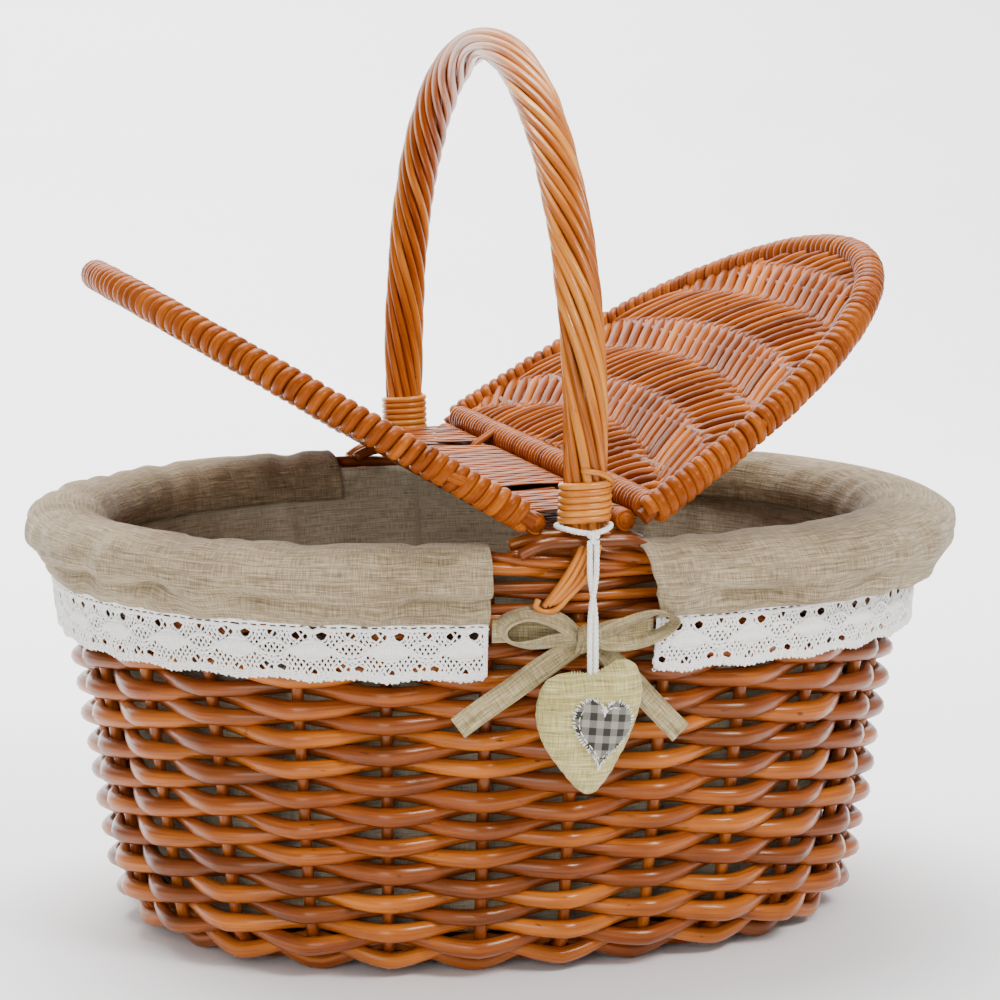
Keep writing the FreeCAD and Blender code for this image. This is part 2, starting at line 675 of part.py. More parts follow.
def build_lining():
    """Cloth bag, the two turned-over cuffs and their lace."""
    thick = SIZE["wall_thickness"]
    cloth = SIZE["bag_cloth"]
    corner = SIZE["floor_corner"]
    floor = SIZE["base_thickness"] + GAP
    bag_top = SIZE["rim_height"] - SIZE["border_height"] - GAP
    skin = thick + GAP

    def inner(height):
        return wall_offset(height) - skin

    flat_edge = -(SIZE["wall_taper"] + corner) - GAP
    wall = section((inner(bag_top), bag_top), (inner(corner), corner + GAP), (flat_edge, floor),
                   (flat_edge - 2 * cloth, floor), (flat_edge - 2 * cloth, floor + cloth),
                   (flat_edge - cloth, floor + cloth),
                   (inner(corner) - cloth, corner + GAP + cloth / 2), (inner(bag_top) - cloth, bag_top))
    bottom = Part.Face(OVAL.wire(flat_edge - cloth / 2, floor)).extrude(Vector(0, 0, cloth))
    keep(OVAL.sweep(wall).fuse(bottom).removeSplitter(), "lining_bag")

    top, bulge, hem = SIZE["cuff_top"], SIZE["cuff_bulge"], SIZE["cuff_bottom"]
    fold = SIZE["cuff_cloth"]
    leg = wall_offset(bag_top) - skin
    hem_edge = wall_offset(hem) + 2 * fold
    crown = -thick / 2
    middle = (crown + bulge) / 2
    shoulder = top - (top - hem) / 3
    cuff = section(
        (leg - fold, bag_top + GAP), (leg - fold, shoulder),
        ((leg + crown) / 2 - fold, top - fold * BEND_IN[0], "via"), (crown, top),
        (middle + fold * BEND_REACH[0], top - fold * BEND_OUT[0], "via"), (bulge, shoulder),
        (hem_edge, hem), (hem_edge - fold, hem), (bulge - fold, shoulder),
        (middle + fold * BEND_REACH[1], top - fold * BEND_OUT[1], "via"), (crown, top - fold),
        ((leg + crown) / 2, top - fold * BEND_IN[1], "via"), (leg, shoulder), (leg, bag_top + GAP))
    lace = SIZE["lace_cloth"]
    low = SIZE["lace_bottom"]
    seam = hem - GAP
    band = section((hem_edge, seam), (hem_edge - lace, seam),
                   (wall_offset(low) + GAP, low), (wall_offset(low) + GAP + lace, low))
    side = OVAL.side_radius
    left = math.degrees(math.asin(SIZE["left_cuff_gap"] / side))
    right = math.degrees(math.asin(SIZE["right_cuff_gap"] / side))
    for name, shape in (("cuff", cuff), ("lace", band)):
        keep(OVAL.sweep(shape, 90 + left, 270 - left), f"{name}_left")
        keep(OVAL.sweep(shape, -90 + right, 90 - right), f"{name}_right")


# ---------------------------------------------------------------- ribbon bows

def flat_loop(half_length, half_height, depth):
    """Flattened ribbon loop along X, centred on the origin."""
    curve = Part.Ellipse(Vector(half_length, 0, 0), Vector(0, 0, half_height), Vector(0, 0, 0))
    face = Part.Face(Part.Wire(curve.toShape()))
    loop = face.extrude(Vector(0, depth, 0))
    loop.translate(Vector(0, -depth / 2, 0))
    return loop


def ribbon(start, run, drop, depth):
    """Flat ribbon that leaves a point along X, drops, and draws back towards the wall."""
    length = math.hypot(run, drop)
    width, cloth = SIZE["ribbon_width"], SIZE["ribbon_cloth"]
    strap = Part.makeBox(length, cloth, width, Vector(0, -cloth / 2, -width / 2))
    strap.rotate(Vector(0, 0, 0), Vector(0, 1, 0), math.degrees(math.atan2(drop, abs(run))))
    strap.rotate(Vector(0, 0, 0), Vector(0, 0, 1), math.degrees(math.atan2(depth, length)))
    if run < 0:
        strap = strap.mirror(Vector(0, 0, 0), Vector(1, 0, 0))
    strap.translate(start)
    return strap


def build_bow(word, turn, left_gap, right_gap):
    """Knot, two loops and two loose ends of ribbon, tied across the gap between the cuffs."""
    height = SIZE["knot_height"]
    width, cloth = SIZE["ribbon_width"], SIZE["ribbon_cloth"]
    knot_half = width * KNOT_SIZE[0]
    face_y = -(SIZE["rim_half_width"] + wall_offset(height))
    knot_y = face_y - SIZE["tail_rod"] - width * KNOT_SIZE[1] - 2 * GAP
    spin = Placement(Vector(0, 0, 0), Rotation(Vector(0, 0, 1), turn))

    def place(shape, label):
        keep(shape, f"bow_{word}_{label}", spin)

    knot = doc.addObject("Part::Ellipsoid", f"Knot{word}")
    for key, share in zip(("Radius2", "Radius3", "Radius1"), KNOT_SIZE):
        knot.setExpression(key, f"{cell('ribbon_width')} * {share}")
    knot.Angle1, knot.Angle2, knot.Angle3 = -90, 90, 360
    knot.Placement = spin * Placement(Vector(0, knot_y, height), Rotation())
    keep_object(knot, f"bow_{word}_knot")

    loops, tails, tapes = [], [], []
    tail_y = knot_y + cloth * TAIL_SEAT[0]
    tape_y = knot_y + width * TAPE_BACK + GAP + cloth / 2
    for side, gap in ((-1, left_gap), (1, right_gap)):
        half = SIZE["bow_loop_length"] / 2
        edge = knot_half + GAP
        loop = flat_loop(half, width * LOOP_SIZE[0], width * LOOP_SIZE[1])
        loop.rotate(Vector(0, 0, 0), Vector(0, 1, 0), -LOOP_TILT * side)
        loop.translate(Vector(side * (half + edge), knot_y, height + width * LOOP_LIFT))
        loops.append(loop)
        drop = SIZE["tail_length"] * TAIL_DROP[side]
        run = side * math.sqrt(SIZE["tail_length"] ** 2 - drop ** 2)
        start = Vector(side * edge, tail_y, height - width * TAIL_SEAT[1])
        tails.append(ribbon(start, run, drop, width * TAIL_BACK))
        tape_start = side * (knot_half * 0.5 + GAP)
        tape_end = -chord(wall_offset(height), gap) - cloth
        rise = SIZE["cuff_bottom"] - width - height
        tape_run = side * (gap - cloth) - tape_start
        tapes.append(ribbon(Vector(tape_start, tape_y, height), tape_run, -rise, tape_end - tape_y))
    place(Part.makeCompound(loops), "loops")
    place(Part.makeCompound(tails), "tails")
    place(Part.makeCompound(tapes), "tapes")


# ---------------------------------------------------------------- hanging heart

def heart_outline(width, height):
    """Heart face in the XZ plane, notch at the origin, made of four arcs."""
    lobe = width / 4
    widest = -lobe * LOBE_SIDE
    left, right = Vector(-2 * lobe, 0, widest), Vector(2 * lobe, 0, widest)
    bend_x, bend_z = (lobe * share for share in LOBE_BEND)
    side_x, side_z = lobe * SIDE_BEND[0], -height * SIDE_BEND[1]
    notch, tip = Vector(0, 0, 0), Vector(0, 0, lobe - height)
    edges = [
        Part.Arc(notch, Vector(-bend_x, 0, bend_z), left).toShape(),
        Part.Arc(left, Vector(-side_x, 0, side_z), tip).toShape(),
        Part.Arc(tip, Vector(side_x, 0, side_z), right).toShape(),
        Part.Arc(right, Vector(bend_x, 0, bend_z), notch).toShape(),
    ]
    return Part.Face(Part.Wire(edges))


def build_pendant():
    """Cord ring round the front foot, its knot, two hanging strands and the stuffed heart."""
    cord = SIZE["cord_width"] / 2
    y = -SIZE["pendant_depth"]
    knot_height = cord_height()
    loop = mirrored(ring(cord, knot_height))
    keep(loop, "cord_ring")
    leg = ARCH.side_point(ARCH.side_angle(knot_height)).y
    ring_front = leg + SIZE["handle_depth"] / 2 + GAP + 2 * cord
    knot_radius = SIZE["pendant_depth"] - ring_front - GAP
    knot = doc.addObject("Part::Sphere", "CordKnot")
    knot.Radius = knot_radius
    knot.Placement.Base = Vector(0, y, knot_height)
    keep_object(knot, "cord_knot")

    depth = SIZE["heart_depth"]
    outline = heart_outline(SIZE["heart_width"], SIZE["heart_height"]).OuterWire
    layers = []
    for share, size in HEART_LAYERS:
        layer = outline.copy()
        layer.scale(size, Vector(0, 0, -SIZE["heart_height"] * HEART_MIDDLE))
        layer.translate(Vector(0, share * depth / 2, 0))
        layers.append(layer)
    heart = Part.makeLoft(layers, True, True)
    notch = SIZE["heart_top"] - heart.BoundBox.ZMax
    lean = Placement(Vector(0, y, notch), Rotation(Vector(0, 1, 0), SIZE["heart_tilt"]))
    keep(heart, "heart", lean)

    scale = SIZE["patch_scale"]
    patch = heart_outline(SIZE["heart_width"] * scale, SIZE["heart_height"] * scale)
    patch = patch.extrude(Vector(0, SIZE["patch_cloth"], 0))
    inset = SIZE["heart_height"] * HEART_MIDDLE * (1 - scale)
    patch.translate(Vector(0, -depth / 2 - SIZE["patch_cloth"] - GAP, -inset))
    keep(patch, "heart_patch", lean)

    placed = heart.copy()
    placed.Placement = lean
    strand_top = knot_height - knot_radius - GAP
    strands = [rod(Vector(x, y, strand_top), Vector(x, y, notch), cord)
               for x in (-cord - GAP / 2, cord + GAP / 2)]
    keep(Part.makeCompound([strand.cut(placed) for strand in strands]), "cord_strands")


build_base()
build_wall()
build_handle()
build_bridge()
build_lid(-1, "left", SIZE["left_lid_angle"])
build_lid(1, "right", SIZE["right_lid_angle"])
build_lining()
build_bow("front", 0, SIZE["left_cuff_gap"], SIZE["right_cuff_gap"])
build_bow("back", 180, SIZE["right_cuff_gap"], SIZE["left_cuff_gap"])
build_pendant()

doc.recompute()
for item in doc.Objects:
    bad = {"Invalid", "Error"} & set(item.State)
    if bad:
        raise RuntimeError(f"{item.Label}: {bad}")
for piece in sub_parts:
    if piece.Shape.isNull() or not piece.Shape.isValid():
        raise RuntimeError(f"{piece.Label} has no valid shape")

os.makedirs("parts", exist_ok=True)
for piece in sub_parts:
    piece.Shape.exportStep(os.path.join("parts", piece.Label + ".step"))
    print(piece.Label, len(piece.Shape.Solids), round(piece.Shape.Volume))
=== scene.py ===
"""Oval willow basket with two hinged lids, a cloth lining, ribbon bows and a hanging heart."""

import logging
import math
from dataclasses import dataclass, field
from enum import Enum
from typing import Iterable, Optional, Sequence

import bpy
import numpy as np
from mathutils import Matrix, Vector


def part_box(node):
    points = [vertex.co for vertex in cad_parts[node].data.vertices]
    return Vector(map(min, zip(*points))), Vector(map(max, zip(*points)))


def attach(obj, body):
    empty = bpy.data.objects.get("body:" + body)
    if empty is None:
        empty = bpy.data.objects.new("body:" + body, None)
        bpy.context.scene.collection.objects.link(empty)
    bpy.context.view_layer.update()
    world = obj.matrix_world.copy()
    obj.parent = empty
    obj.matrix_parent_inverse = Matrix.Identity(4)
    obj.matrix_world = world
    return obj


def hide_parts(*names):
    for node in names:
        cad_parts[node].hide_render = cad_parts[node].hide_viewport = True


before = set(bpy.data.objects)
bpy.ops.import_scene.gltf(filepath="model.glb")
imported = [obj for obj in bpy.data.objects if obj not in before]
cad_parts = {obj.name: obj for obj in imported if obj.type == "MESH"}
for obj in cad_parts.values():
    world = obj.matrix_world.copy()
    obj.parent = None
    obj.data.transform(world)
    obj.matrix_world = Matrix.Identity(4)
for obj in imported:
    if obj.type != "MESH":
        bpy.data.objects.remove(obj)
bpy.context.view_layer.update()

LOG = logging.getLogger("basket")
MM = 0.001
Array = np.ndarray
Colour = tuple[float, float, float]
Spot = tuple[float, float, float]
UP = np.array([0.0, 0.0, 1.0])
TOWARDS = np.array([0.0, -1.0, 0.0])
TAU = 2 * math.pi


# ---- numbers and curves

def ink(red: int, green: int, blue: int) -> Colour:
    """Turn a paint-chart colour, 0 to 255, into linear light."""
    return tuple(((c / 255 + 0.055) / 1.055) ** 2.4 if c > 10 else c / 3295 for c in (red, green, blue))


def unit(vectors: Array) -> Array:
    """Scale each row of vectors to length one."""
    return vectors / np.maximum(np.linalg.norm(vectors, axis=-1, keepdims=True), 1e-12)


def dice(seed: int) -> np.random.Generator:
    """Give a class its own seeded random numbers."""
    return field(default_factory=lambda: np.random.default_rng(seed))


def table(*columns: float | Array) -> Array:
    """Set numbers and rows of numbers side by side, one column each."""
    return np.stack(np.broadcast_arrays(*columns), axis=-1).astype(float)


def resample(at: Array, run: Array, line: Array) -> Array:
    """Read a line of points at other lengths along it."""
    return table(*(np.interp(at, run, column) for column in line.T))


def stadium(low: float, high: float, radius: float, bend: int, flat: int) -> Array:
    """Run once round two level rods, over the flats between them.

    Args:
        low: Place of the first rod.
        high: Place of the second rod.
        radius: Distance that the line keeps from both.
        bend: Points on each half turn.
        flat: Points on each flat.

    Returns:
        Place and height of each point.
    """
    turn = np.linspace(0, math.pi, bend)
    level = np.linspace(high, low, flat + 2)[1:-1]
    return np.vstack([table(high + radius * np.sin(turn), radius * np.cos(turn)), table(level, -radius),
                      table(low - radius * np.sin(turn), -radius * np.cos(turn)),
                      table(level[::-1], radius)])


def smooth_path(corners: Sequence[Sequence[float]], steps: int) -> Array:
    """Run a smooth curve through given points.

    Args:
        corners: The points, in order.
        steps: Samples between two neighbours.

    Returns:
        Samples along the curve, the first and last points included.
    """
    p = np.asarray(corners, float)
    ends = np.vstack([2 * p[0] - p[1], p, 2 * p[-1] - p[-2]])
    share = np.linspace(0, 1, steps, endpoint=False)[:, None]
    spans = []
    for a, b, c, d in zip(ends, ends[1:], ends[2:], ends[3:]):
        spans.append(0.5 * (2 * b + (c - a) * share + (2 * a - 5 * b + 4 * c - d) * share ** 2
                            + (3 * b - a - 3 * c + d) * share ** 3))
    return np.vstack(spans + [p[-1:]])


def along(path: Array) -> Array:
    """Length of the way from a path's first point to each of its points."""
    steps = np.linalg.norm(np.diff(path, axis=0), axis=1)
    return np.concatenate([[0.0], np.cumsum(steps)])


def ripple(where: Array, seed: int, waves: int = 5, low: float = 1.0, high: float = 6.0) -> Array:
    """Sum a few sine waves of seeded size and phase, about -1 to 1.

    Args:
        where: Places, in turns of the slowest wave.
        seed: Seed for the waves.
        waves: How many waves.
        low: Slowest wave, in whole turns.
        high: Fastest wave, in whole turns.

    Returns:
        One value for each place.
    """
    rng = np.random.default_rng(seed)
    total = np.zeros_like(where, dtype=float)
    for turn in np.round(np.linspace(low, high, waves)):
        total += rng.uniform(0.5, 1.0) * np.sin(TAU * (turn * where + rng.random()))
    return total / math.sqrt(waves)


# ---- meshes

def stand(name: str, data: bpy.types.ID) -> bpy.types.Object:
    """Put data into the scene as an object.

    Args:
        name: Name of the object.
        data: Its mesh, curve, light or camera.

    Returns:
        The object.
    """
    made = bpy.data.objects.new(name, data)
    bpy.context.scene.collection.objects.link(made)
    return made


class MeshParts:
    """Gathers rods, threads and cloth, then makes one mesh object of them."""

    def __init__(self) -> None:
        """Start with nothing gathered."""
        self.points: list[Array] = []
        self.faces: list[tuple[int, ...]] = []
        self.grain: list[Array] = []
        self.tone: list[Array] = []
        self.count = 0

    def add(self, points: Array, faces: Iterable[Sequence[int]], grain: Array, tone: float) -> None:
        """Add one closed or open surface.

        Args:
            points: Its points, in metres.
            faces: Its faces, as places in points.
            grain: Each point's place in the stuff: along, across, through.
            tone: How pale this length of stuff is, 0 to 1.
        """
        start = self.count
        self.points.append(points)
        self.faces.extend([tuple(int(i) + start for i in face) for face in faces])
        self.grain.append(grain)
        self.tone.append(np.full(len(points), tone))
        self.count += len(points)

    def rod(self, path: Array, radius: float | Array, up: Array | Sequence[float], tone: float = 0.5,
            sides: int = 10, wide: float = 1.0, closed: bool = False, start: float = 0.0) -> None:
        """Add a round or flattened rod along a path.

        Args:
            path: Centre points.
            radius: Radius, or one for each point.
            up: Direction that the section's height keeps to, or one for each point.
            tone: How pale the rod is, 0 to 1.
            sides: Corners of the section.
            wide: Section width as a share of its height.
            closed: The rod runs back into itself.
            start: Place of its first point along the stuff, in metres.
        """
        path = np.asarray(path, float)
        count = len(path)
        radius = np.broadcast_to(np.asarray(radius, float), (count,))
        if closed:
            tangent = unit(np.roll(path, -1, axis=0) - np.roll(path, 1, axis=0))
        else:
            tangent = unit(np.gradient(path, axis=0))
        side = unit(np.cross(tangent, np.broadcast_to(np.asarray(up, float), (count, 3))))
        lift = np.cross(side, tangent)
        turn = np.linspace(0, TAU, sides, endpoint=False)
        across = radius[:, None] * np.cos(turn)[None, :]
        through = radius[:, None] * np.sin(turn)[None, :]
        ring = (path[:, None, :] + across[:, :, None] * wide * side[:, None, :]
                + through[:, :, None] * lift[:, None, :])
        run = along(path) + start
        grain = table(np.broadcast_to(run[:, None], across.shape), across * wide, through)
        points = ring.reshape(-1, 3)
        grain = grain.reshape(-1, 3)
        laps = count if closed else count - 1
        row = np.arange(laps)[:, None] * sides
        nxt = ((np.arange(laps) + 1) % count)[:, None] * sides
        a = np.arange(sides)[None, :]
        b = (np.arange(sides)[None, :] + 1) % sides
        faces = np.stack([row + a, row + b, nxt + b, nxt + a], axis=-1).reshape(-1, 4).tolist()
        if not closed:
            faces.append(list(range(sides))[::-1])
            faces.append([(count - 1) * sides + i for i in range(sides)])
        self.add(points, faces, grain, tone)

    def cloth(self, grid: Array, size: tuple[float, float], tone: float = 0.5, wrap: bool = False) -> None:
        """Add a sheet of cloth given as a grid of points.

        Args:
            grid: Rows and columns of points.
            size: Cloth width along a row and length down the columns, in metres.
            tone: How pale the cloth is, 0 to 1.
            wrap: The last column joins the first.
        """
        rows, columns = grid.shape[:2]
        v, u = np.meshgrid(np.linspace(0, size[1], rows), np.linspace(0, size[0], columns), indexing="ij")
        grain = table(u, v, 0.0).reshape(-1, 3)
        last = columns if wrap else columns - 1
        r = np.arange(rows - 1)[:, None] * columns
        a = np.arange(last)[None, :]
        b = (a + 1) % columns
        faces = np.stack([r + a, r + b, r + columns + b, r + columns + a], axis=-1).reshape(-1, 4)
        self.add(grid.reshape(-1, 3), faces.tolist(), grain, tone)

    def make(self, name: str, finish: "Finish") -> bpy.types.Object:
        """Make the mesh object and dress it.

        Args:
            name: Name of the piece.
            finish: Its finish.

        Returns:
            The new object, linked to the scene.
        """
        mesh = bpy.data.meshes.new(name)
        mesh.from_pydata(np.vstack(self.points).tolist(), [], self.faces)
        grain = mesh.attributes.new("grain", "FLOAT_VECTOR", "POINT")
        grain.data.foreach_set("vector", np.vstack(self.grain).astype(np.float32).ravel())
        tone = mesh.attributes.new("tone", "FLOAT", "POINT")
        tone.data.foreach_set("value", np.concatenate(self.tone).astype(np.float32))
        mesh.polygons.foreach_set("use_smooth", np.ones(len(mesh.polygons), bool))
        mesh.update()
        piece = stand(name, mesh)
        mesh.materials.append(finish.material())
        return piece


def thicken(piece: bpy.types.Object, cloth: float, offset: float = 0.0) -> None:
    """Give a sheet its cloth thickness.

    Args:
        piece: The sheet.
        cloth: Thickness in metres.
        offset: -1 to grow inwards, 1 outwards, 0 both ways.
    """
    solid = piece.modifiers.new("cloth", "SOLIDIFY")
    solid.thickness = cloth
    solid.offset = offset


def place(piece: bpy.types.Object, slot: str, *nodes: str, body: str = "basket") -> bpy.types.Object:
    """Put a piece on its body and hide the nodes that it stands for.

    Args:
        piece: The piece.
        slot: Material slot; not used.
        nodes: Nodes that it stands for.
        body: Body that it rides on.

    Returns:
        The same piece.
    """
    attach(piece, body)
    if nodes:
        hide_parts(*nodes)
    LOG.info("%s rides on %s: %d faces", piece.name, body, len(piece.data.polygons))
    return piece


# ---- finishes

class Nodes:
    """Small helper that adds shader nodes and joins them."""

    def __init__(self, name: str) -> None:
        """Start a material with a plain shader.

        Args:
            name: Material name.
        """
        self.stuff = bpy.data.materials.new(name)
        self.stuff.use_nodes = True
        self.tree = self.stuff.node_tree
        self.shader = self.tree.nodes["Principled BSDF"]
        self.grain = self.mark("grain", "Vector")

    def join(self, source: object, target: object) -> None:
        """Set a socket from another socket or from a value.

        Args:
            source: The other socket, or the value.
            target: The socket to set.
        """
        if isinstance(source, bpy.types.NodeSocket):
            self.tree.links.new(source, target)
        else:
            target.default_value = source

    def mark(self, name: str, output: str) -> object:
        """Read a mark stored on the mesh.

        Args:
            name: Name of the mark.
            output: Vector or Fac.

        Returns:
            The output socket.
        """
        reader = self.tree.nodes.new("ShaderNodeAttribute")
        reader.attribute_name = name
        return reader.outputs[output]

    def sum(self, kind: str, first: object, second: object) -> object:
        """Work out one number from two.

        Args:
            kind: What to do with them.
            first: First number, a socket or a value.
            second: Second number.

        Returns:
            The output socket.
        """
        worker = self.tree.nodes.new("ShaderNodeMath")
        worker.operation = kind
        self.join(first, worker.inputs[0])
        self.join(second, worker.inputs[1])
        return worker.outputs[0]

    def scaled(self, scale: Sequence[float], shift: object = (0.0, 0.0, 0.0)) -> object:
        """Scale the place in the stuff, then shift it.

        Args:
            scale: Scale along, across and through.
            shift: Number added to all three, a socket, or nothing.

        Returns:
            The output socket.
        """
        worker = self.tree.nodes.new("ShaderNodeVectorMath")
        worker.operation = "MULTIPLY_ADD"
        for source, target in zip((self.grain, scale, shift), worker.inputs):
            self.join(source, target)
        return worker.outputs[0]

    def noise(self, vector: object, detail: float = 2.0, rough: float = 0.5) -> object:
        """Make noise of unit scale over a vector.

        Args:
            vector: Where to read the noise.
            detail: Finer layers.
            rough: How strong the finer layers are.

        Returns:
            The value socket, about 0.3 to 0.7.
        """
        maker = self.tree.nodes.new("ShaderNodeTexNoise")
        maker.inputs["Scale"].default_value = 1.0
        maker.inputs["Detail"].default_value = detail
        maker.inputs["Roughness"].default_value = rough
        self.join(vector, maker.inputs["Vector"])
        return maker.outputs["Fac"]

    def ramp(self, value: object, *stops: tuple[float, Colour]) -> object:
        """Turn a number into a colour.

        Args:
            value: The number.
            stops: Places and colours along the ramp.

        Returns:
            The colour socket.
        """
        maker = self.tree.nodes.new("ShaderNodeValToRGB")
        steps = maker.color_ramp.elements
        while len(steps) < len(stops):
            steps.new(1.0)
        for step, (where, colour) in zip(steps, stops):
            step.position = where
            step.color = (*colour, 1.0)
        self.join(value, maker.inputs["Fac"])
        return maker.outputs["Color"]

    def blend(self, share: object, first: object, second: object) -> object:
        """Mix two colours.

        Args:
            share: How much of the second, a socket or a value.
            first: First colour.
            second: Second colour.

        Returns:
            The colour socket.
        """
        mixer = self.tree.nodes.new("ShaderNodeMix")
        mixer.data_type = "RGBA"
        self.join(share, mixer.inputs[0])
        for source, target in ((first, mixer.inputs[6]), (second, mixer.inputs[7])):
            self.join(source if isinstance(source, bpy.types.NodeSocket) else (*source, 1.0), target)
        return mixer.outputs[2]

    def bump(self, height: object, depth: float, strength: float) -> None:
        """Raise the surface by a height map.

        Args:
            height: Height socket, 0 to 1.
            depth: Depth in metres at full height.
            strength: Share of it that shows.
        """
        maker = self.tree.nodes.new("ShaderNodeBump")
        maker.inputs["Distance"].default_value = depth
        maker.inputs["Strength"].default_value = strength
        self.join(height, maker.inputs["Height"])
        self.join(maker.outputs[0], self.shader.inputs["Normal"])

    def gloss(self, **values: float) -> None:
        """Set constant values on the shader's own sockets, named with spaces as underscores."""
        for name, value in values.items():
            self.shader.inputs[name.replace("_", " ")].default_value = value


class Finish:
    """A finish makes its material once and hands it out."""

    name: str

    def build(self) -> bpy.types.Material:
        """Make the material."""
        raise NotImplementedError

    def material(self) -> bpy.types.Material:
        """Return the material, made on first use."""
        made = bpy.data.materials.get(self.name)
        return made if made is not None else self.build()


@dataclass(frozen=True)
class StainedWillow(Finish):
    """Peeled willow rod, stained and lacquered."""

    name: str
    dark: Colour
    middle: Colour
    light: Colour
    shine: float = 0.35

    def build(self) -> bpy.types.Material:
        """Make long streaks, blotches, small knots and a clear coat.

        Returns:
            The material.
        """
        n = Nodes(self.name)
        tone = n.mark("tone", "Fac")
        shift = n.sum("MULTIPLY", tone, 91.7)
        streak = n.noise(n.scaled((22, 900, 900), shift), 3.0, 0.6)
        blotch = n.noise(n.scaled((26, 90, 90), shift), 2.0)
        knots = n.noise(n.scaled((160, 420, 420), shift), 1.0)
        level = n.sum("ADD", n.sum("MULTIPLY", tone, 0.34),
                      n.sum("ADD", n.sum("MULTIPLY", streak, 0.55), n.sum("MULTIPLY", blotch, 0.6)))
        colour = n.ramp(n.sum("SUBTRACT", level, 0.2), (0.15, self.dark), (0.5, self.middle),
                        (0.88, self.light))
        spot = n.ramp(knots, (0.72, (0, 0, 0)), (0.79, (1, 1, 1)))
        n.join(n.blend(n.sum("MULTIPLY", spot, 0.7), colour, tuple(c * 0.3 for c in self.dark)),
               n.shader.inputs["Base Color"])
        n.join(n.sum("ADD", n.sum("MULTIPLY", streak, 0.3), 0.2), n.shader.inputs["Roughness"])
        n.gloss(Coat_Weight=self.shine, Coat_Roughness=0.16, Specular_IOR_Level=0.15 + 0.8 * self.shine)
        n.shader.inputs["Specular Tint"].default_value = (1.0, 0.62, 0.34, 1.0)
        n.bump(n.sum("ADD", streak, n.sum("MULTIPLY", blotch, 2.0)), 0.0006, 0.5)
        return n.stuff


@dataclass(frozen=True)
class WovenCloth(Finish):
    """Matt plain-weave cloth with uneven threads."""

    name: str
    shade: Colour
    body: Colour
    light: Colour
    thread: float = 0.42 * MM

    def build(self) -> bpy.types.Material:
        """Make crossing threads with slubs, and a soft mottled colour.

        Returns:
            The material.
        """
        n = Nodes(self.name)
        fine = 1 / self.thread
        warp = n.noise(n.scaled((fine, fine * 0.07, 1)), 1.0)
        weft = n.noise(n.scaled((fine * 0.07, fine, 1)), 1.0)
        slub = n.noise(n.scaled((fine * 0.02, fine * 0.45, 1)), 2.0)
        mottle = n.noise(n.scaled((18, 18, 1)), 3.0)
        threads = n.sum("MULTIPLY", n.sum("ADD", warp, weft), 0.5)
        level = n.sum("ADD", n.sum("MULTIPLY", threads, 0.75),
                      n.sum("ADD", n.sum("MULTIPLY", slub, 0.45), n.sum("MULTIPLY", mottle, 0.3)))
        colour = n.ramp(n.sum("SUBTRACT", level, 0.25), (0.32, self.shade), (0.5, self.body),
                        (0.68, self.light))
        n.join(colour, n.shader.inputs["Base Color"])
        n.gloss(Roughness=0.95, Sheen_Weight=0.15, Specular_IOR_Level=0.2)
        n.bump(n.sum("ADD", threads, slub), 0.0004, 0.5)
        return n.stuff


@dataclass(frozen=True)
class CottonThread(Finish):
    """White cotton thread or cord."""

    name: str
    shade: Colour
    light: Colour

    def build(self) -> bpy.types.Material:
        """Make fine twisted fibres in an off-white.

        Returns:
            The material.
        """
        n = Nodes(self.name)
        fibre = n.noise(n.scaled((900, 2600, 2600)), 2.0)
        n.join(n.ramp(fibre, (0.3, self.shade), (0.62, self.light)), n.shader.inputs["Base Color"])
        n.gloss(Roughness=0.9, Sheen_Weight=0.2, Specular_IOR_Level=0.2)
        n.bump(fibre, 0.0003, 0.5)
        return n.stuff


@dataclass(frozen=True)
class CheckedCotton(Finish):
    """Small two-colour check, woven."""

    name: str
    dark: Colour
    light: Colour
    check: float = 3.0 * MM

    def build(self) -> bpy.types.Material:
        """Make bands across and down that deepen where they cross.

        Returns:
            The material.
        """
        n = Nodes(self.name)
        split = n.tree.nodes.new("ShaderNodeSeparateXYZ")
        n.join(n.grain, split.inputs[0])
        bands = []
        for axis in (0, 1):
            wave = n.sum("SINE", n.sum("MULTIPLY", split.outputs[axis], math.pi / self.check), 0.0)
            soft = n.sum("MULTIPLY", wave, 6.0)
            bands.append(n.sum("MINIMUM", n.sum("MAXIMUM", n.sum("ADD", soft, 0.5), 0.0), 1.0))
        cover = n.sum("MULTIPLY", n.sum("ADD", bands[0], bands[1]), 0.5)
        fine = n.noise(n.scaled((2400, 2400, 1)), 1.0)
        worn = n.sum("ADD", cover, n.sum("MULTIPLY", n.sum("SUBTRACT", fine, 0.5), 0.35))
        n.join(n.ramp(worn, (0.05, self.light), (0.95, self.dark)), n.shader.inputs["Base Color"])
        n.gloss(Roughness=0.92, Sheen_Weight=0.15, Specular_IOR_Level=0.2)
        n.bump(fine, 0.0004, 0.5)
        return n.stuff


WALL_WILLOW = StainedWillow("wall_willow", ink(54, 19, 2), ink(127, 57, 6), ink(192, 106, 26))
HANDLE_WILLOW = StainedWillow("handle_willow", ink(84, 32, 3), ink(166, 86, 16), ink(226, 152, 60))
LID_WILLOW = StainedWillow("lid_willow", ink(58, 21, 3), ink(128, 57, 6), ink(190, 104, 28), 0.05)
LINEN = WovenCloth("lining_linen", ink(100, 84, 60), ink(144, 127, 99), ink(184, 168, 138))
# Lighter copy of the lining linen for the bag inside the basket: painted light, standing in for light that
# the lids keep off the inner lining.
LINEN_PAINTED_LIGHTER = WovenCloth("linen_painted_lighter", ink(136, 122, 98), ink(180, 166, 142), ink(208, 196, 174))
RIBBON = WovenCloth("ribbon_linen", ink(112, 96, 64), ink(156, 140, 102), ink(198, 184, 146), 0.45 * MM)
HEART_LINEN = WovenCloth("heart_cloth", ink(128, 114, 66), ink(176, 163, 106), ink(214, 204, 150), 0.5 * MM)
LACE_COTTON = CottonThread("lace_cotton", ink(222, 218, 212), ink(250, 249, 246))
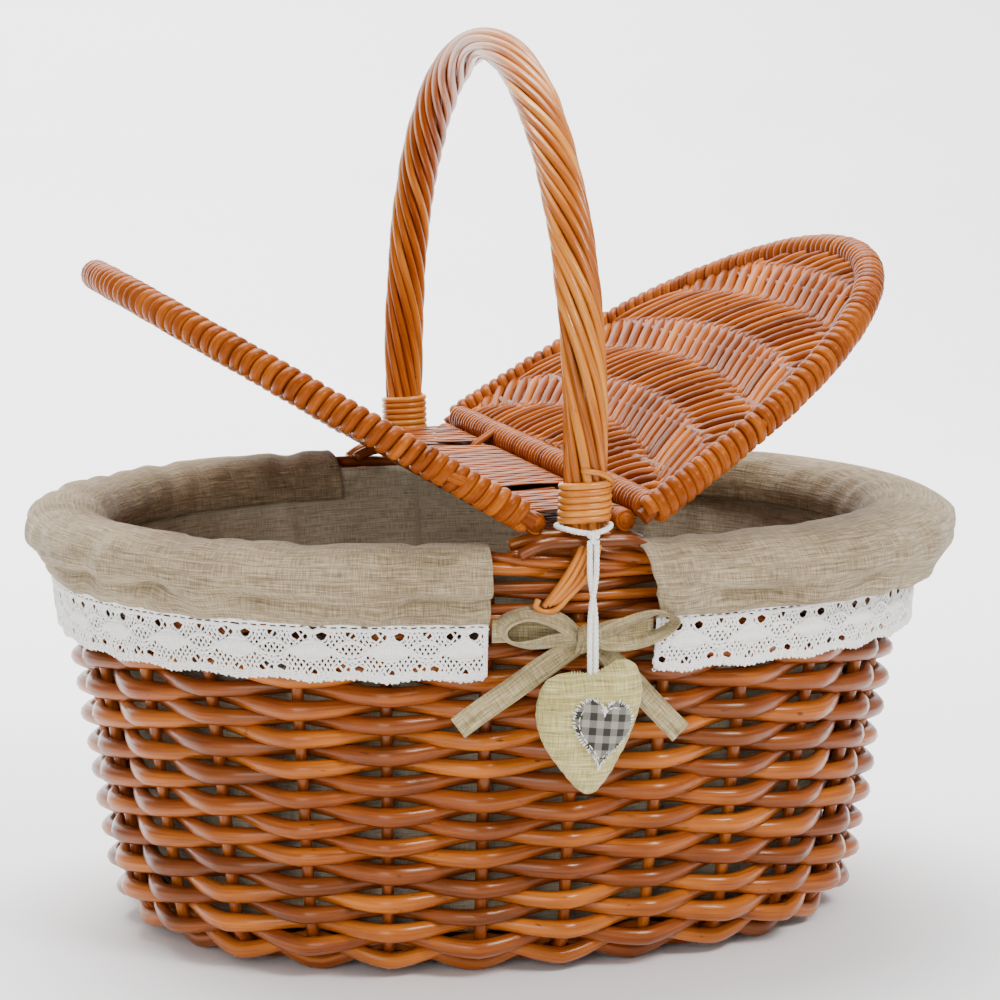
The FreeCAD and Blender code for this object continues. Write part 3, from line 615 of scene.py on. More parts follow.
CORD_COTTON = CottonThread("cord_cotton", ink(220, 217, 208), ink(250, 248, 242))
GINGHAM = CheckedCotton("gingham_check", ink(50, 48, 40), ink(144, 140, 130))


# ---- plan and wall

@dataclass(frozen=True)
class Oval:
    """Oval of four tangent arcs. Places round it go from 0 at the back, by the left, to 1."""

    half_length: float = 194.0 * MM
    half_width: float = 156.0 * MM
    end_radius: float = 150.0 * MM
    reference: float = -22.5 * MM

    def arcs(self) -> list[tuple[float, float, float, float, float]]:
        """List the arcs in order from the back.

        Returns:
            First angle, last angle, centre x, centre y and radius of each.
        """
        end = self.half_length - self.end_radius
        side = ((end ** 2 + self.half_width ** 2 - self.end_radius ** 2)
                / (2 * (self.half_width - self.end_radius)))
        drop = side - self.half_width
        turn = math.atan2(drop, end)
        half = math.pi / 2
        return [(half, math.pi - turn, 0.0, -drop, side),
                (math.pi - turn, math.pi + turn, -end, 0.0, self.end_radius),
                (math.pi + turn, TAU - turn, 0.0, drop, side),
                (TAU - turn, TAU + turn, end, 0.0, self.end_radius),
                (TAU + turn, TAU + half, 0.0, -drop, side)]

    def girth(self) -> float:
        """Length once round at the reference offset."""
        return sum((b - a) * (r + self.reference) for a, b, _, _, r in self.arcs())

    def places(self, where: Array, offset: float | Array, height: float | Array) -> Array:
        """Find points outside the oval.

        Args:
            where: Places round the oval, 0 to 1, wrapped.
            offset: Distance outside the oval.
            height: Height of the points.

        Returns:
            The points, one row each.
        """
        where = np.asarray(where, float)
        arcs = self.arcs()
        lengths = np.array([(b - a) * (r + self.reference) for a, b, _, _, r in arcs])
        ends = np.cumsum(lengths)
        run = (where % 1.0) * ends[-1]
        index = np.minimum(np.searchsorted(ends, run, side="right"), len(arcs) - 1)
        first, last, cx, cy, radius = (np.array(column)[index] for column in zip(*arcs))
        share = (run - (ends - lengths)[index]) / lengths[index]
        angle = first + (last - first) * share
        reach = radius + offset
        return table(cx + reach * np.cos(angle), cy + reach * np.sin(angle), height)

    def outward(self, where: Array) -> Array:
        """Level direction that faces outwards at each place."""
        near = self.places(where, 0.0, 0.0)
        return unit(self.places(where, 0.01, 0.0) - near)

    def gap_place(self, x: float, front: bool) -> float:
        """Place round the oval at a distance along X, on the front or the back side.

        Args:
            x: Distance along X.
            front: The front side.

        Returns:
            The place, 0 to 1.
        """
        spots = np.linspace(0.3, 0.7, 4001) if front else np.linspace(-0.2, 0.2, 4001)
        found = self.places(spots, 0.0, 0.0)[:, 0]
        return float(spots[np.argmin(np.abs(found - x))])


@dataclass(frozen=True)
class WallShape:
    """How the woven wall leans and turns into the bottom."""

    oval: Oval
    rim_height: float = 185.5 * MM
    taper: float = 28.0 * MM
    thickness: float = 17.0 * MM
    corner: float = 23.0 * MM

    def outer(self, height: float | Array) -> float | Array:
        """Offset of the outer face at a height."""
        return -self.taper * (1 - height / self.rim_height)

    def middle(self, run: Array) -> tuple[Array, Array, Array]:
        """Follow the middle of the wall from the bottom edge, round the corner and up.

        Args:
            run: Length along the middle of the wall.

        Returns:
            Offset, height and slope of the outward direction, for each length.
        """
        bend = self.corner - self.thickness / 2
        lean = -math.atan2(self.taper, self.rim_height)
        arc = bend * (math.pi / 2 + lean)
        centre_offset = self.outer(self.corner) - self.corner
        turned = np.clip(run, 0, arc) / bend - math.pi / 2
        offset = centre_offset + bend * np.cos(turned)
        height = self.corner + bend * np.sin(turned)
        rest = np.maximum(run - arc, 0)
        return offset - rest * math.sin(lean), height + rest * math.cos(lean), turned

    def run_at(self, height: float) -> float:
        """Measure along the middle of the wall.

        Args:
            height: A height above the corner.

        Returns:
            Length from the bottom edge up to that height.
        """
        bend = self.corner - self.thickness / 2
        lean = -math.atan2(self.taper, self.rim_height)
        arc = bend * (math.pi / 2 + lean)
        turn_height = self.corner + bend * math.sin(lean)
        return arc + (height - turn_height) / math.cos(lean)

    def points(self, where: Array, run: Array, out: Array) -> tuple[Array, Array]:
        """Find points of the wall.

        Args:
            where: Places round the oval.
            run: Length along the middle of the wall.
            out: Distance outwards from the middle.

        Returns:
            The points, and the direction up the wall at each.
        """
        offset, height, slope = self.middle(run)
        flat = self.oval.outward(where)
        points = self.oval.places(where, offset + out * np.cos(slope), height + out * np.sin(slope))
        rise = -flat * np.sin(slope)[:, None]
        rise[:, 2] = np.cos(slope)
        return points, rise


@dataclass
class WovenWall:
    """Stakes, over-and-under rows, the thick rows under the rim and the rolled border."""

    shape: WallShape
    stakes: int = 26
    stake: float = 2.7 * MM
    pitch: float = 6.3 * MM
    rod: float = 4.0 * MM
    swing: float = 5.7 * MM
    steps: int = 10
    weave_top: float = 160.0 * MM
    split: float = 91.5 * MM
    border_foot: float = 174.0 * MM
    first_row: float = 2.2 * MM
    rods_in_row: int = 2
    rng: np.random.Generator = dice(7)

    def build(self) -> None:
        """Make every willow piece of the wall."""
        foot, lower, upper = MeshParts(), MeshParts(), MeshParts()
        top_run = self.shape.run_at(self.weave_top)
        split_run = self.shape.run_at(self.split)
        foot_run = self.shape.run_at(self.shape.corner + 1 * MM)
        rows = round((top_run - 3 * MM) / self.pitch)
        for row in range(rows):
            run = self.first_row + (top_run - 4.5 * MM) * row / (rows - 1)
            parts = foot if run < foot_run else lower if run < split_run else upper
            self.row(parts, run, row % 2)
        place(foot.make("wall_foot_rods", WALL_WILLOW), "willow", "foot_waling")
        place(lower.make("wall_lower_rods", WALL_WILLOW), "willow", "side_weave_lower")
        place(upper.make("wall_upper_rods", WALL_WILLOW), "willow", "side_weave_upper")
        self.build_stakes()
        self.build_waling()
        self.build_border()

    def weave(self, where: Array, phase: float) -> Array:
        """Swing in and out round the wall, with a crease at each stake.

        Args:
            where: Places round the oval.
            phase: 0 or 1, which stakes the rod passes outside.

        Returns:
            The swing at each place, -1 to 1.
        """
        turn = where * self.stakes + phase
        wave = np.cos(math.pi * turn)
        saw = 1 - 2 * np.abs((turn % 2) - 1)
        return 0.55 * wave - 0.45 * saw

    def row(self, parts: MeshParts, run: float, phase: int) -> None:
        """Add one row of weaving, made of two or three rods laid end to end.

        Args:
            parts: Where the rods go.
            run: Place of the row up the wall.
            phase: 0 or 1, which stakes it passes outside.
        """
        first = int(self.rng.integers(0, self.stakes // 2)) * 2 + 1 - phase
        seed = int(self.rng.integers(1, 9999))
        per_rod = self.stakes // self.rods_in_row
        per_rod += per_rod % 2
        start = first
        while start < first + self.stakes:
            stop = min(start + per_rod, first + self.stakes)
            count = (stop - start) * self.steps + 1
            place_at = np.linspace(start, stop, count) / self.stakes
            share = np.linspace(0, 1, count)
            thick = self.rod * (1.07 - 0.15 * share) * self.rng.uniform(0.94, 1.05)
            height = run + 0.75 * MM * ripple(place_at, seed, 6, 2, 13)
            edge = np.clip(run / (24 * MM), 0.35, 1.0)
            swing = self.swing * (0.78 + 0.22 * edge) * (1 + 0.08 * ripple(place_at, seed + 1, 4, 3, 11))
            out = swing * self.weave(place_at, phase)
            points, rise = self.shape.points(place_at, height, out)
            points[:, 2] = np.maximum(points[:, 2], thick * 1.02)
            lens = 0.92 + 0.13 * np.clip(out / self.swing, -1, 1)
            parts.rod(points, thick * lens, rise, self.rng.random(), sides=10, wide=0.92)
            start = stop

    def build_stakes(self) -> None:
        """Add the upright stakes, from under the corner to the border."""
        parts = MeshParts()
        top = self.shape.run_at(self.border_foot + 4 * MM)
        for index in range(self.stakes):
            wobble = 0.04 / self.stakes * self.rng.uniform(-1, 1)
            stop = self.shape.run_at(self.weave_top) if index % (self.stakes // 2) == 0 else top
            run = np.linspace(1.5 * MM, stop, 26)
            where = np.full(run.shape, index / self.stakes + wobble)
            points, _ = self.shape.points(where, run, 0.25 * MM * np.sin(run * 90 + index))
            outward = self.shape.oval.outward(where)
            parts.rod(points, self.stake * self.rng.uniform(0.93, 1.05), outward, self.rng.random() * 0.8)
        place(parts.make("wall_stakes", WALL_WILLOW), "willow", "side_stakes")

    def build_waling(self) -> None:
        """Add four level rods under the rim, each outside a few stakes and inside one."""
        parts = MeshParts()
        base = self.shape.run_at(self.weave_top)
        for row, (lift, thick) in enumerate(((1.6, 2.3), (6.3, 2.1), (10.8, 2.4), (15.6, 2.0))):
            place_at = np.linspace(0, 1, self.stakes * self.steps, endpoint=False)
            turn = np.cos(math.pi * (place_at * self.stakes / 2 + row % 2))
            handle = np.exp(-((((place_at * 2) % 1 + 0.5) % 1 - 0.5) / 0.06) ** 2)
            out = self.swing * ((1 - handle) * turn + handle * 0.95) - (row % 2) * 0.9 * MM
            height = base + lift * MM + 0.5 * MM * ripple(place_at, 50 + row, 6, 2, 15)
            points, rise = self.shape.points(place_at, height, out)
            size = thick * MM * (1 + 0.05 * ripple(place_at, 70 + row, 4, 1, 8))
            parts.rod(points, size, rise, self.rng.random(), closed=True)
        place(parts.make("rim_waling_rods", WALL_WILLOW), "willow", "rim_waling")

    def build_border(self) -> None:
        """Roll each stake down over the next ones to finish the rim."""
        parts = MeshParts()
        top = self.shape.rim_height
        for index in range(self.stakes):
            shift = self.rng.uniform(-0.06, 0.06)
            steps = np.array([0.0, 0.1, 0.45, 0.9, 1.35, 1.8, 2.25, 2.6, 2.75])
            outs = np.array([0.0, 0.6, -3.2, -0.5, 3.8, 5.6, 5.2, 2.2, 0.5]) * MM
            heights = np.array([-9.5, -5.2, -3.4, -3.0, -4.0, -5.4, -7.2, -8.6, -10.0]) * MM
            rough = table(steps + shift, outs / MM, heights / MM)
            fine = smooth_path(rough, 6)
            where = (index + fine[:, 0]) / self.stakes
            run = self.shape.run_at(top) + fine[:, 2] * MM
            points, rise = self.shape.points(where, run, fine[:, 1] * MM)
            parts.rod(points, 2.6 * MM * self.rng.uniform(0.94, 1.06), rise, self.rng.random())
        place(parts.make("rim_border_rods", WALL_WILLOW), "willow", "rim_border")


@dataclass
class WovenBottom:
    """Rounds of rod over and under the spokes, and the sticks in the middle."""

    oval: Oval
    edge: float = -52.5 * MM
    inner: float = -118.0 * MM
    level: float = 5.0 * MM
    rod: float = 2.35 * MM
    spoke: float = 1.9 * MM
    pitch: float = 4.9 * MM
    middle_pitch: float = 4.7 * MM
    spokes: int = 26
    rng: np.random.Generator = dice(11)

    def build(self) -> None:
        """Make the bottom."""
        parts = MeshParts()
        rounds = int((self.edge - self.inner) / self.pitch)
        steps = self.spokes * 8
        for turn in range(rounds):
            where = np.linspace(0, 1, steps, endpoint=False)
            wave = 2.1 * MM * np.cos(math.pi * (where * self.spokes + turn % 2))
            points = self.oval.places(where, self.edge - turn * self.pitch, self.level + wave)
            parts.rod(points, self.rod, UP, self.rng.random(), sides=8, closed=True)
        for index in range(self.spokes):
            where = np.full(12, index / self.spokes)
            offset = np.linspace(self.edge, self.inner - 6 * MM, 12)
            parts.rod(self.oval.places(where, offset, self.level), self.spoke, UP, 0.4, sides=8)
        middle = self.oval.half_width + self.inner + 4 * MM
        reach = self.oval.half_length + self.inner
        for y in np.arange(-middle, middle, self.middle_pitch):
            half = reach * math.sqrt(max(0.15, 1 - (y / (middle * 1.15)) ** 2))
            x = np.linspace(-half, half, 40)
            start = 0 if round(y / self.middle_pitch) % 2 else math.pi
            level = self.level + 1.3 * MM * np.cos(x * 220 + start)
            path = table(x, y, level)
            parts.rod(path, self.rod, UP, self.rng.random(), sides=8)
        place(parts.make("bottom_weave", WALL_WILLOW), "willow", "base_weave")


# ---- handle

@dataclass(frozen=True)
class Arch:
    """Centre line of the handle in the YZ plane: two long side arcs and a top arc."""

    top: float = 384.0 * MM
    half_span: float = 153.0 * MM
    widest: float = 225.0 * MM
    side_radius: float = 195.0 * MM

    def line(self, low: float, samples: int) -> tuple[Array, Array]:
        """Follow the arch from the front foot over the top to the back foot.

        Args:
            low: Height at which both ends stop.
            samples: Number of points.

        Returns:
            The points, and the outward direction at each.
        """
        inward = self.side_radius - self.half_span
        rise = self.top - self.widest
        top_radius = ((self.side_radius ** 2 - inward ** 2 - rise ** 2) / (2 * (self.side_radius - rise)))
        top_centre = self.top - top_radius
        turn = math.atan2(top_centre - self.widest, inward)
        start = math.asin((low - self.widest) / self.side_radius)
        side_run = (turn - start) * self.side_radius
        top_run = (math.pi - 2 * turn) * top_radius
        run = np.linspace(0, 2 * side_run + top_run, samples)
        angle = np.where(run < side_run, start + run / self.side_radius,
                         np.where(run < side_run + top_run, turn + (run - side_run) / top_radius,
                                  math.pi - turn + (run - side_run - top_run) / self.side_radius))
        on_top = (run >= side_run) & (run < side_run + top_run)
        centre_y = np.where(on_top, 0.0, np.where(run < side_run, inward, -inward))
        centre_z = np.where(on_top, top_centre, self.widest)
        radius = np.where(on_top, top_radius, self.side_radius)
        points = table(0.0, centre_y - radius * np.cos(angle), centre_z + radius * np.sin(angle))
        return points, table(0.0, -np.cos(angle), np.sin(angle))

    def foot(self, height: float, front: bool) -> float:
        """Y of the centre line at a height, in the front or the back leg."""
        y = math.sqrt(self.side_radius ** 2 - (height - self.widest) ** 2) - self.side_radius + self.half_span
        return -y if front else y


@dataclass
class Handle:
    """Rods wound round the bent bow, bound at each foot, with loose rod ends below."""

    arch: Arch
    shape: WallShape
    half_width: float = 9.5 * MM
    half_depth: float = 7.25 * MM
    strands: int = 11
    strand: float = 1.9 * MM
    turns: float = 3.3
    wrap_foot: float = 192.0 * MM
    binding_foot: float = 195.6 * MM
    binding_rod: float = 1.35 * MM
    binding_turns: int = 6
    tail_rod: float = 1.3 * MM
    tails: int = 4
    rng: np.random.Generator = dice(23)

    def build(self) -> None:
        """Make the winding, both bindings and the rod ends."""
        self.build_winding()
        for front in (True, False):
            self.build_binding(front)
            self.build_tails(front)

    def build_winding(self) -> None:
        """Wind the strands round the bow, steeper near the feet."""
        parts = MeshParts()
        samples = 320
        centre, outward = self.arch.line(self.wrap_foot, samples)
        share = np.linspace(0, 1, samples)
        eased = share - 0.35 * np.sin(2 * TAU * share) / (2 * TAU)
        near_foot = np.minimum(share, 1 - share) * 600 * MM
        squeeze = 1 - 0.13 * np.exp(-(near_foot / (26 * MM)) ** 2)
        for index in range(self.strands):
            seed = 300 + index
            angle = TAU * (index / self.strands + self.turns * eased + 0.008 * ripple(share, seed, 5, 2, 9))
            swell = 1 + 0.03 * ripple(share, seed + 40, 4, 1, 7)
            across = (self.half_width - self.strand) * np.cos(angle) * swell * squeeze
            through = (self.half_depth - self.strand) * np.sin(angle) * swell * squeeze
            path = centre + across[:, None] * np.array([1.0, 0, 0]) + through[:, None] * outward
            taper = self.strand * self.rng.uniform(0.9, 1.1)
            taper = taper * (1 + 0.05 * ripple(share, seed + 80, 4, 1, 5))
            parts.rod(path, taper, path - centre, self.rng.random(), sides=9, wide=1.02)
        place(parts.make("handle_winding", HANDLE_WILLOW), "willow_handle", "handle_wrapping")

    def build_binding(self, front: bool) -> None:
        """Bind one foot with a thin rod, its end tucked up across the strands.

        Args:
            front: The front foot.
        """
        parts = MeshParts()
        word = "front" if front else "back"
        steps = 28
        turn = np.linspace(0, self.binding_turns, self.binding_turns * steps + 1)
        pitch = 2 * self.binding_rod * 1.02
        height = self.binding_foot + pitch * (turn - 0.3 * np.sin(TAU * turn) / TAU)
        out = self.binding_rod - 1.2 * MM
        square = 0.82
        swing_x = np.sign(np.cos(TAU * turn)) * np.abs(np.cos(TAU * turn)) ** square
        swing_y = np.sign(np.sin(TAU * turn)) * np.abs(np.sin(TAU * turn)) ** square
        foot = np.array([self.arch.foot(h, front) for h in height])
        path = table((self.half_width + out) * swing_x, foot + (self.half_depth + out) * swing_y, height)
        centre = table(0.0, foot, height)
        parts.rod(path, self.binding_rod, path - centre, 0.75, sides=8, wide=1.12)
        top = self.binding_foot + pitch * self.binding_turns
        side = -1 if front else 1
        face = self.half_depth + out
        tuck = [(9.8, face / MM * 0.35, -1.0), (8.5, face / MM * 0.8, 1.8), (4.0, face / MM * 1.0, 4.4),
                (-1.5, face / MM * 1.02, 5.4), (-3.0, face / MM * 0.8, 5.8)]
        points = smooth_path([(x * MM, self.arch.foot(top, front) + side * y * MM, top + z * MM)
                              for x, y, z in tuck], 6)
        parts.rod(points, self.binding_rod * 0.9, UP, 0.8, sides=8)
        place(parts.make(f"binding_{word}", HANDLE_WILLOW), "willow_handle", f"handle_binding_{word}")

    def build_tails(self, front: bool) -> None:
        """Lead four thin rod ends down the outside of the rim and turn one back.

        Args:
            front: At the front foot.
        """
        parts = MeshParts()
        word = "front" if front else "back"
        spin = 1 if front else -1
        for index in range(self.tails):
            spread = index - (self.tails - 1) / 2
            route = [(spread * 2.3 + 0.6, 2.0, 187.0), (spread * 2.6 - 1.6, 4.6, 183.0),
                     (spread * 3.0 - 6.0, 4.4, 174.0), (spread * 2.5 - 12.0, 4.0, 166.4)]
            if index == self.tails - 1:
                route += [(-12.6, 3.8, 161.8), (-17.0, 3.8, 160.6), (-21.4, 3.6, 162.6),
                          (-20.6, 3.4, 166.0)]
            else:
                route += [(spread * 1.7 - 15.6, 3.4, 163.0 + index * 0.5)]
            path = smooth_path([self.rim_point(x, out, z, spin) for x, out, z in route], 8)
            outward = np.array([0, -spin, 0])
            parts.rod(path, self.tail_rod, outward, 0.5 + 0.12 * index, sides=8)
        place(parts.make(f"handle_ends_{word}", HANDLE_WILLOW), "willow", f"handle_tail_{word}")

    def rim_point(self, x: float, out: float, z: float, spin: int) -> Spot:
        """Point in front of the wall, in metres, from distances in millimetres."""
        y = self.shape.oval.half_width + self.shape.outer(z * MM) + out * MM
        return spin * x * MM, -spin * y, z * MM


# ---- bridge and lids

@dataclass
class Bridge:
    """Two hinge bars bound together by flat strips, and the rods at each end."""

    oval: Oval
    level: float = 195.0 * MM
    half_gap: float = 19.0 * MM
    bar: float = 3.5 * MM
    strip: float = 1.75 * MM
    reach: float = 137.0 * MM
    strips: int = 84
    loop_spread: float = 75.0 * MM
    rng: np.random.Generator = dice(31)

    def build(self) -> None:
        """Make the bars, the strips and the end rods."""
        for side, word in ((-1, "left"), (1, "right")):
            parts = MeshParts()
            tip = self.oval.half_width - 8 * MM
            y = np.linspace(-tip, tip, 60)
            sway = 0.2 * MM * ripple(y / 0.3, 60 + side, 3, 1, 4)
            path = table(side * self.half_gap + sway, y, self.level)
            parts.rod(path, self.bar - 0.15 * MM, UP, 0.4, sides=12)
            for end in (-1, 1):
                turn = np.linspace(0, 3.8, 70)
                coil_y = end * (self.reach + 0.8 * MM + 2.4 * MM * turn)
                hub = table(side * self.half_gap, coil_y, self.level)
                spoke = table(np.cos(TAU * turn), 0.0, np.sin(TAU * turn)) * (self.bar + 0.35 * MM)
                parts.rod(hub + spoke, 0.8 * MM, spoke, 0.5, sides=8, wide=1.7)
            place(parts.make(f"hinge_bar_{word}", LID_WILLOW), "willow_lid", f"bridge_bar_{word}")
        self.build_strips()
        self.build_ends()

    def build_strips(self) -> None:
        """Wind flat strips aslant round both bars, clear of the hinge loops."""
        parts = MeshParts()
        over = self.bar + 0.42 * MM
        for index in range(self.strips):
            share = (index + 0.5) / self.strips
            y_left = self.reach * (2 * share - 1)
            y_right = self.reach * (2 * (share + 0.03 * math.sin(TAU * share)) - 1)
            blocked = [abs(abs(y) - self.loop_spread) < 5.8 * MM for y in (y_left, y_right)]
            reach, arc = (self.half_gap - 6.6 * MM, 1.6 * MM) if any(blocked) else (self.half_gap, over)
            ring = stadium(-reach, reach, arc, 9, 12)
            slope = (ring[:, 0] / self.half_gap + 1) / 2
            bow = 0.5 * MM * np.cos(ring[:, 0] / self.half_gap * 3 + index * 2.4)
            y = y_left + (y_right - y_left) * slope + self.rng.uniform(-0.2, 0.2) * MM
            path = table(ring[:, 0], y, self.level + ring[:, 1] + np.sign(ring[:, 1]) * bow * 0.6)
            normal = table(ring[:, 0] - np.clip(ring[:, 0], -reach, reach), 0.0, ring[:, 1])
            tone = 0.5 + 0.3 * math.sin(index * 0.9) * math.sin(index * 0.37)
            parts.rod(path, 0.42 * MM, unit(normal), tone, sides=8, wide=4.4, closed=True)
        place(parts.make("bridge_strips", LID_WILLOW), "willow_lid", "bridge_weave")

    def build_ends(self) -> None:
        """Lay two bent rods at each end, between the rim and the hinge bars."""
        for front, word in ((True, "front"), (False, "back")):
            parts = MeshParts()
            low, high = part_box(f"bridge_rods_{word}")
            radius = (high.z - low.z) / 2
            level = (high.z + low.z) / 2
            sign = -1 if front else 1
            near = min(abs(low.y), abs(high.y))
            far = max(abs(low.y), abs(high.y)) - radius
            reach = high.x + 5 * MM
            x = np.linspace(-reach, reach, 60)
            dive = np.clip((np.abs(x) - 13 * MM) / (reach - 13 * MM), 0, 1) ** 2
            side = self.oval.arcs()[0][4]
            for y, lift, bend in ((far, 0.0, 5.0), (near + radius + 0.9 * MM, 0.2 * MM, 3.5)):
                curve = y - (side - np.sqrt(side ** 2 - x ** 2)) - 2.5 * MM * dive
                path = table(x, sign * curve, level + lift - bend * MM * dive)
                parts.rod(path, radius * 0.92, UP, self.rng.random(), sides=10)
            place(parts.make(f"bridge_ends_{word}", WALL_WILLOW), "willow", f"bridge_rods_{word}")


class Side(Enum):
    """Which lid."""

    LEFT = "left"
    RIGHT = "right"


@dataclass
class Lid:
    """Half-oval lid: zigzag rods woven on ribs, a wrapped edge and two hinge loops."""

    oval: Oval
    side: Side
    angle: float
    hinge_x: float = 19.0 * MM
    level: float = 195.0 * MM
    bar_x: float = 30.0 * MM
    edge: float = 1.5 * MM
    border: float = 6.7 * MM
    ribs: int = 6
    rod: float = 2.1 * MM
    pitch: float = 5.0 * MM
    swing: float = 1.3 * MM
    slant: float = 1.1
    bow: float = 20.0 * MM
    fan: float = 0.2
    wrap: float = 2.0 * MM
    side_turn: float = 4.4 * MM
    end_turn: float = 5.4 * MM
    bar_turn: float = 4.3 * MM
    loop_spread: float = 75.0 * MM
    loop_reach: float = 4.95 * MM
    loop_room: float = 4.6 * MM
    skein: float = 1.1 * MM
    rng: Optional[np.random.Generator] = None

    def __post_init__(self) -> None:
        """Give each lid its own seeded dice."""
        self.rng = np.random.default_rng(41 if self.side is Side.LEFT else 43)

    def turned(self, level_points: Array) -> Array:
        """Turn points of the level right-hand lid to this lid's place at rest.

        Args:
            level_points: Points of the level lid, heights from its hinge.

        Returns:
            The points in place.
        """
        angle = math.radians(self.angle)
        x = level_points[:, 0] - self.hinge_x
        z = level_points[:, 2]
        cos, sin = math.cos(angle), math.sin(angle)
        placed = table(self.hinge_x + x * cos - z * sin, level_points[:, 1], self.level + x * sin + z * cos)
        if self.side is Side.LEFT:
            placed[:, :2] *= -1
        return placed

    def turned_direction(self, level_directions: Array) -> Array:
        """Turn directions of the level right-hand lid."""
        base = self.turned(np.zeros_like(level_directions))
        return self.turned(level_directions) - base

    def chord(self, x: Array, offset: float) -> Array:
        """Measure across a parallel oval.

        Args:
            x: Distances along X.
            offset: Distance of the parallel oval outside the rim.

        Returns:
            Half width at each distance.
        """
        arcs = self.oval.arcs()
        side = arcs[0][4] + offset
        drop = -arcs[0][3]
        end_x = arcs[3][2]
        end = self.oval.end_radius + offset
        joint = side * math.sin(math.pi / 2 - math.atan2(drop, end_x))
        wide = np.sqrt(np.maximum(side ** 2 - x ** 2, 0)) - drop
        narrow = np.sqrt(np.maximum(end ** 2 - (np.abs(x) - end_x) ** 2, 0))
        return np.where(np.abs(x) <= joint, wide, narrow)

    def add_rod(self, parts: MeshParts, path: Array, radius: float | Array, up: Array, tone: float,
                sides: int = 8, wide: float = 1.0, closed: bool = False) -> None:
        """Turn a rod of the level lid into place and add it, as MeshParts.rod does."""
        parts.rod(self.turned(path), radius, self.turned_direction(up), tone, sides, wide, closed)

    def build(self) -> None:
        """Make the panel, the wrapped edge, the wrapped bar and the loops."""
        body = f"{self.side.value}_lid"
        for work, piece, node in ((self.panel, "rods", "weave"), (self.wrapped_edge, "edge", "border"),
                                  (self.wrapped_bar, "bar_wrap", "bar_wrapping"),
                                  (self.loops, "loops", "hinge_loops")):
            place(work().make(f"{body}_{piece}", LID_WILLOW), "willow_lid", f"{body}_{node}", body=body)

    def panel(self) -> MeshParts:
        """Weave rods from the bar to the edge, slanting one way and then the other.

        Returns:
            The gathered rods.
        """
        parts = MeshParts()
        inner_edge = self.edge - self.border * 0.75
        near = self.bar_x + self.border * 0.75
        panel_x = self.bar_x + self.border + 0.3 * MM
        end_x = self.oval.half_length + self.edge - self.border - 0.3 * MM
        band = (end_x - panel_x) / (self.ribs + 0.5)
        out = np.linspace(near, end_x + self.bow + 20 * MM, 170)
        turn = (out - panel_x) / band - 0.5
        saw = 2 * np.abs(((turn + 0.5) / 2 % 1) - 0.5)
        zigzag = (saw - 0.5) * self.slant * band
        spread = 1 + self.fan * (out - near) / (end_x - near)
        half = self.oval.half_width + band
        count = int(2 * half / self.pitch)
        for index in range(count):
            phase = index % 2
            t = -half + index * self.pitch + zigzag + 0.2 * MM * ripple(out / 0.2, 500 + index, 3, 1, 4)
            x = out - self.bow * (t / (self.oval.half_width - band)) ** 2
            y = t * spread
            crest = np.cos(math.pi * (turn + phase))
            z = self.swing * crest * (1.4 - 0.4 * crest ** 2)
            inside = (x > near) & (x < self.oval.half_length + inner_edge)
            inside &= np.abs(y) < self.chord(np.clip(x, 0, self.oval.half_length + inner_edge), inner_edge)
            if inside.sum() < 6:
                continue
            stretch = np.flatnonzero(inside)
            keep = slice(stretch[0], stretch[-1] + 1)
            run = along(table(x[keep], y[keep]))
            fade = np.minimum(1, np.minimum(run + 2 * MM, run[-1] - run + 2 * MM) / (9 * MM))
            path = table(x[keep], y[keep], z[keep] * (0.35 + 0.65 * fade))
            up = np.broadcast_to(UP, path.shape)
            thick = self.rod * self.rng.uniform(0.93, 1.07) * spread[keep] ** 0.7
            self.add_rod(parts, path, thick, up, self.rng.random(), wide=1.05)
        return parts

    def wrapped_edge(self) -> MeshParts:
        """Wrap a rod round the bent edge, in wider turns along the outer end.

        Returns:
            The gathered rods.
        """
        parts = MeshParts()
        where = np.linspace(-0.5, 0.0, 2001)
        line = self.oval.places(where, self.edge, 0.0)
        line = line[line[:, 0] > self.bar_x - self.border * 0.4]
        self.wind(parts, line, self.side_turn, self.end_turn, self.border)
        return parts

    def wind(self, parts: MeshParts, line: Array, tight: float, loose: float, reach: float) -> None:
        """Wind a flattened rod turn by turn round a line.

        Args:
            parts: Where they go.
            line: Centre line.
            tight: Width of a turn at both ends.
            loose: Width of a turn in between.
            reach: How far the turns reach from the line.
        """
        run = along(line)
        at = np.linspace(0, run[-1], max(24, int(run[-1] / (0.75 * MM))))
        centre = resample(at, run, line)
        tangent = unit(np.gradient(centre, axis=0))
        out = unit(np.cross(tangent, UP))
        width = tight + (loose - tight) * np.clip(np.minimum(at, run[-1] - at) / (60 * MM), 0, 1)
        width = width * (1 + 0.05 * ripple(at / run[-1], int(self.angle), 6, 3, 40))
        turns = np.concatenate([[0.0], np.cumsum(np.diff(at) / ((width[1:] + width[:-1]) / 2))])
        fine = np.linspace(0, turns[-1], int(turns[-1] * 16))
        lump = 1 + 0.03 * ripple(fine / turns[-1], 9, 6, 5, 60)
        hub = resample(fine, turns, centre)
        side = resample(fine, turns, out)
        spoke = np.cos(TAU * fine)[:, None] * side + np.sin(TAU * fine)[:, None] * UP
        path = hub + ((reach - self.wrap) * lump)[:, None] * spoke
        wide = float(np.mean(width)) / (2 * self.wrap) * 0.97
        self.add_rod(parts, path, self.wrap * lump, spoke, 0.5, 10, wide)

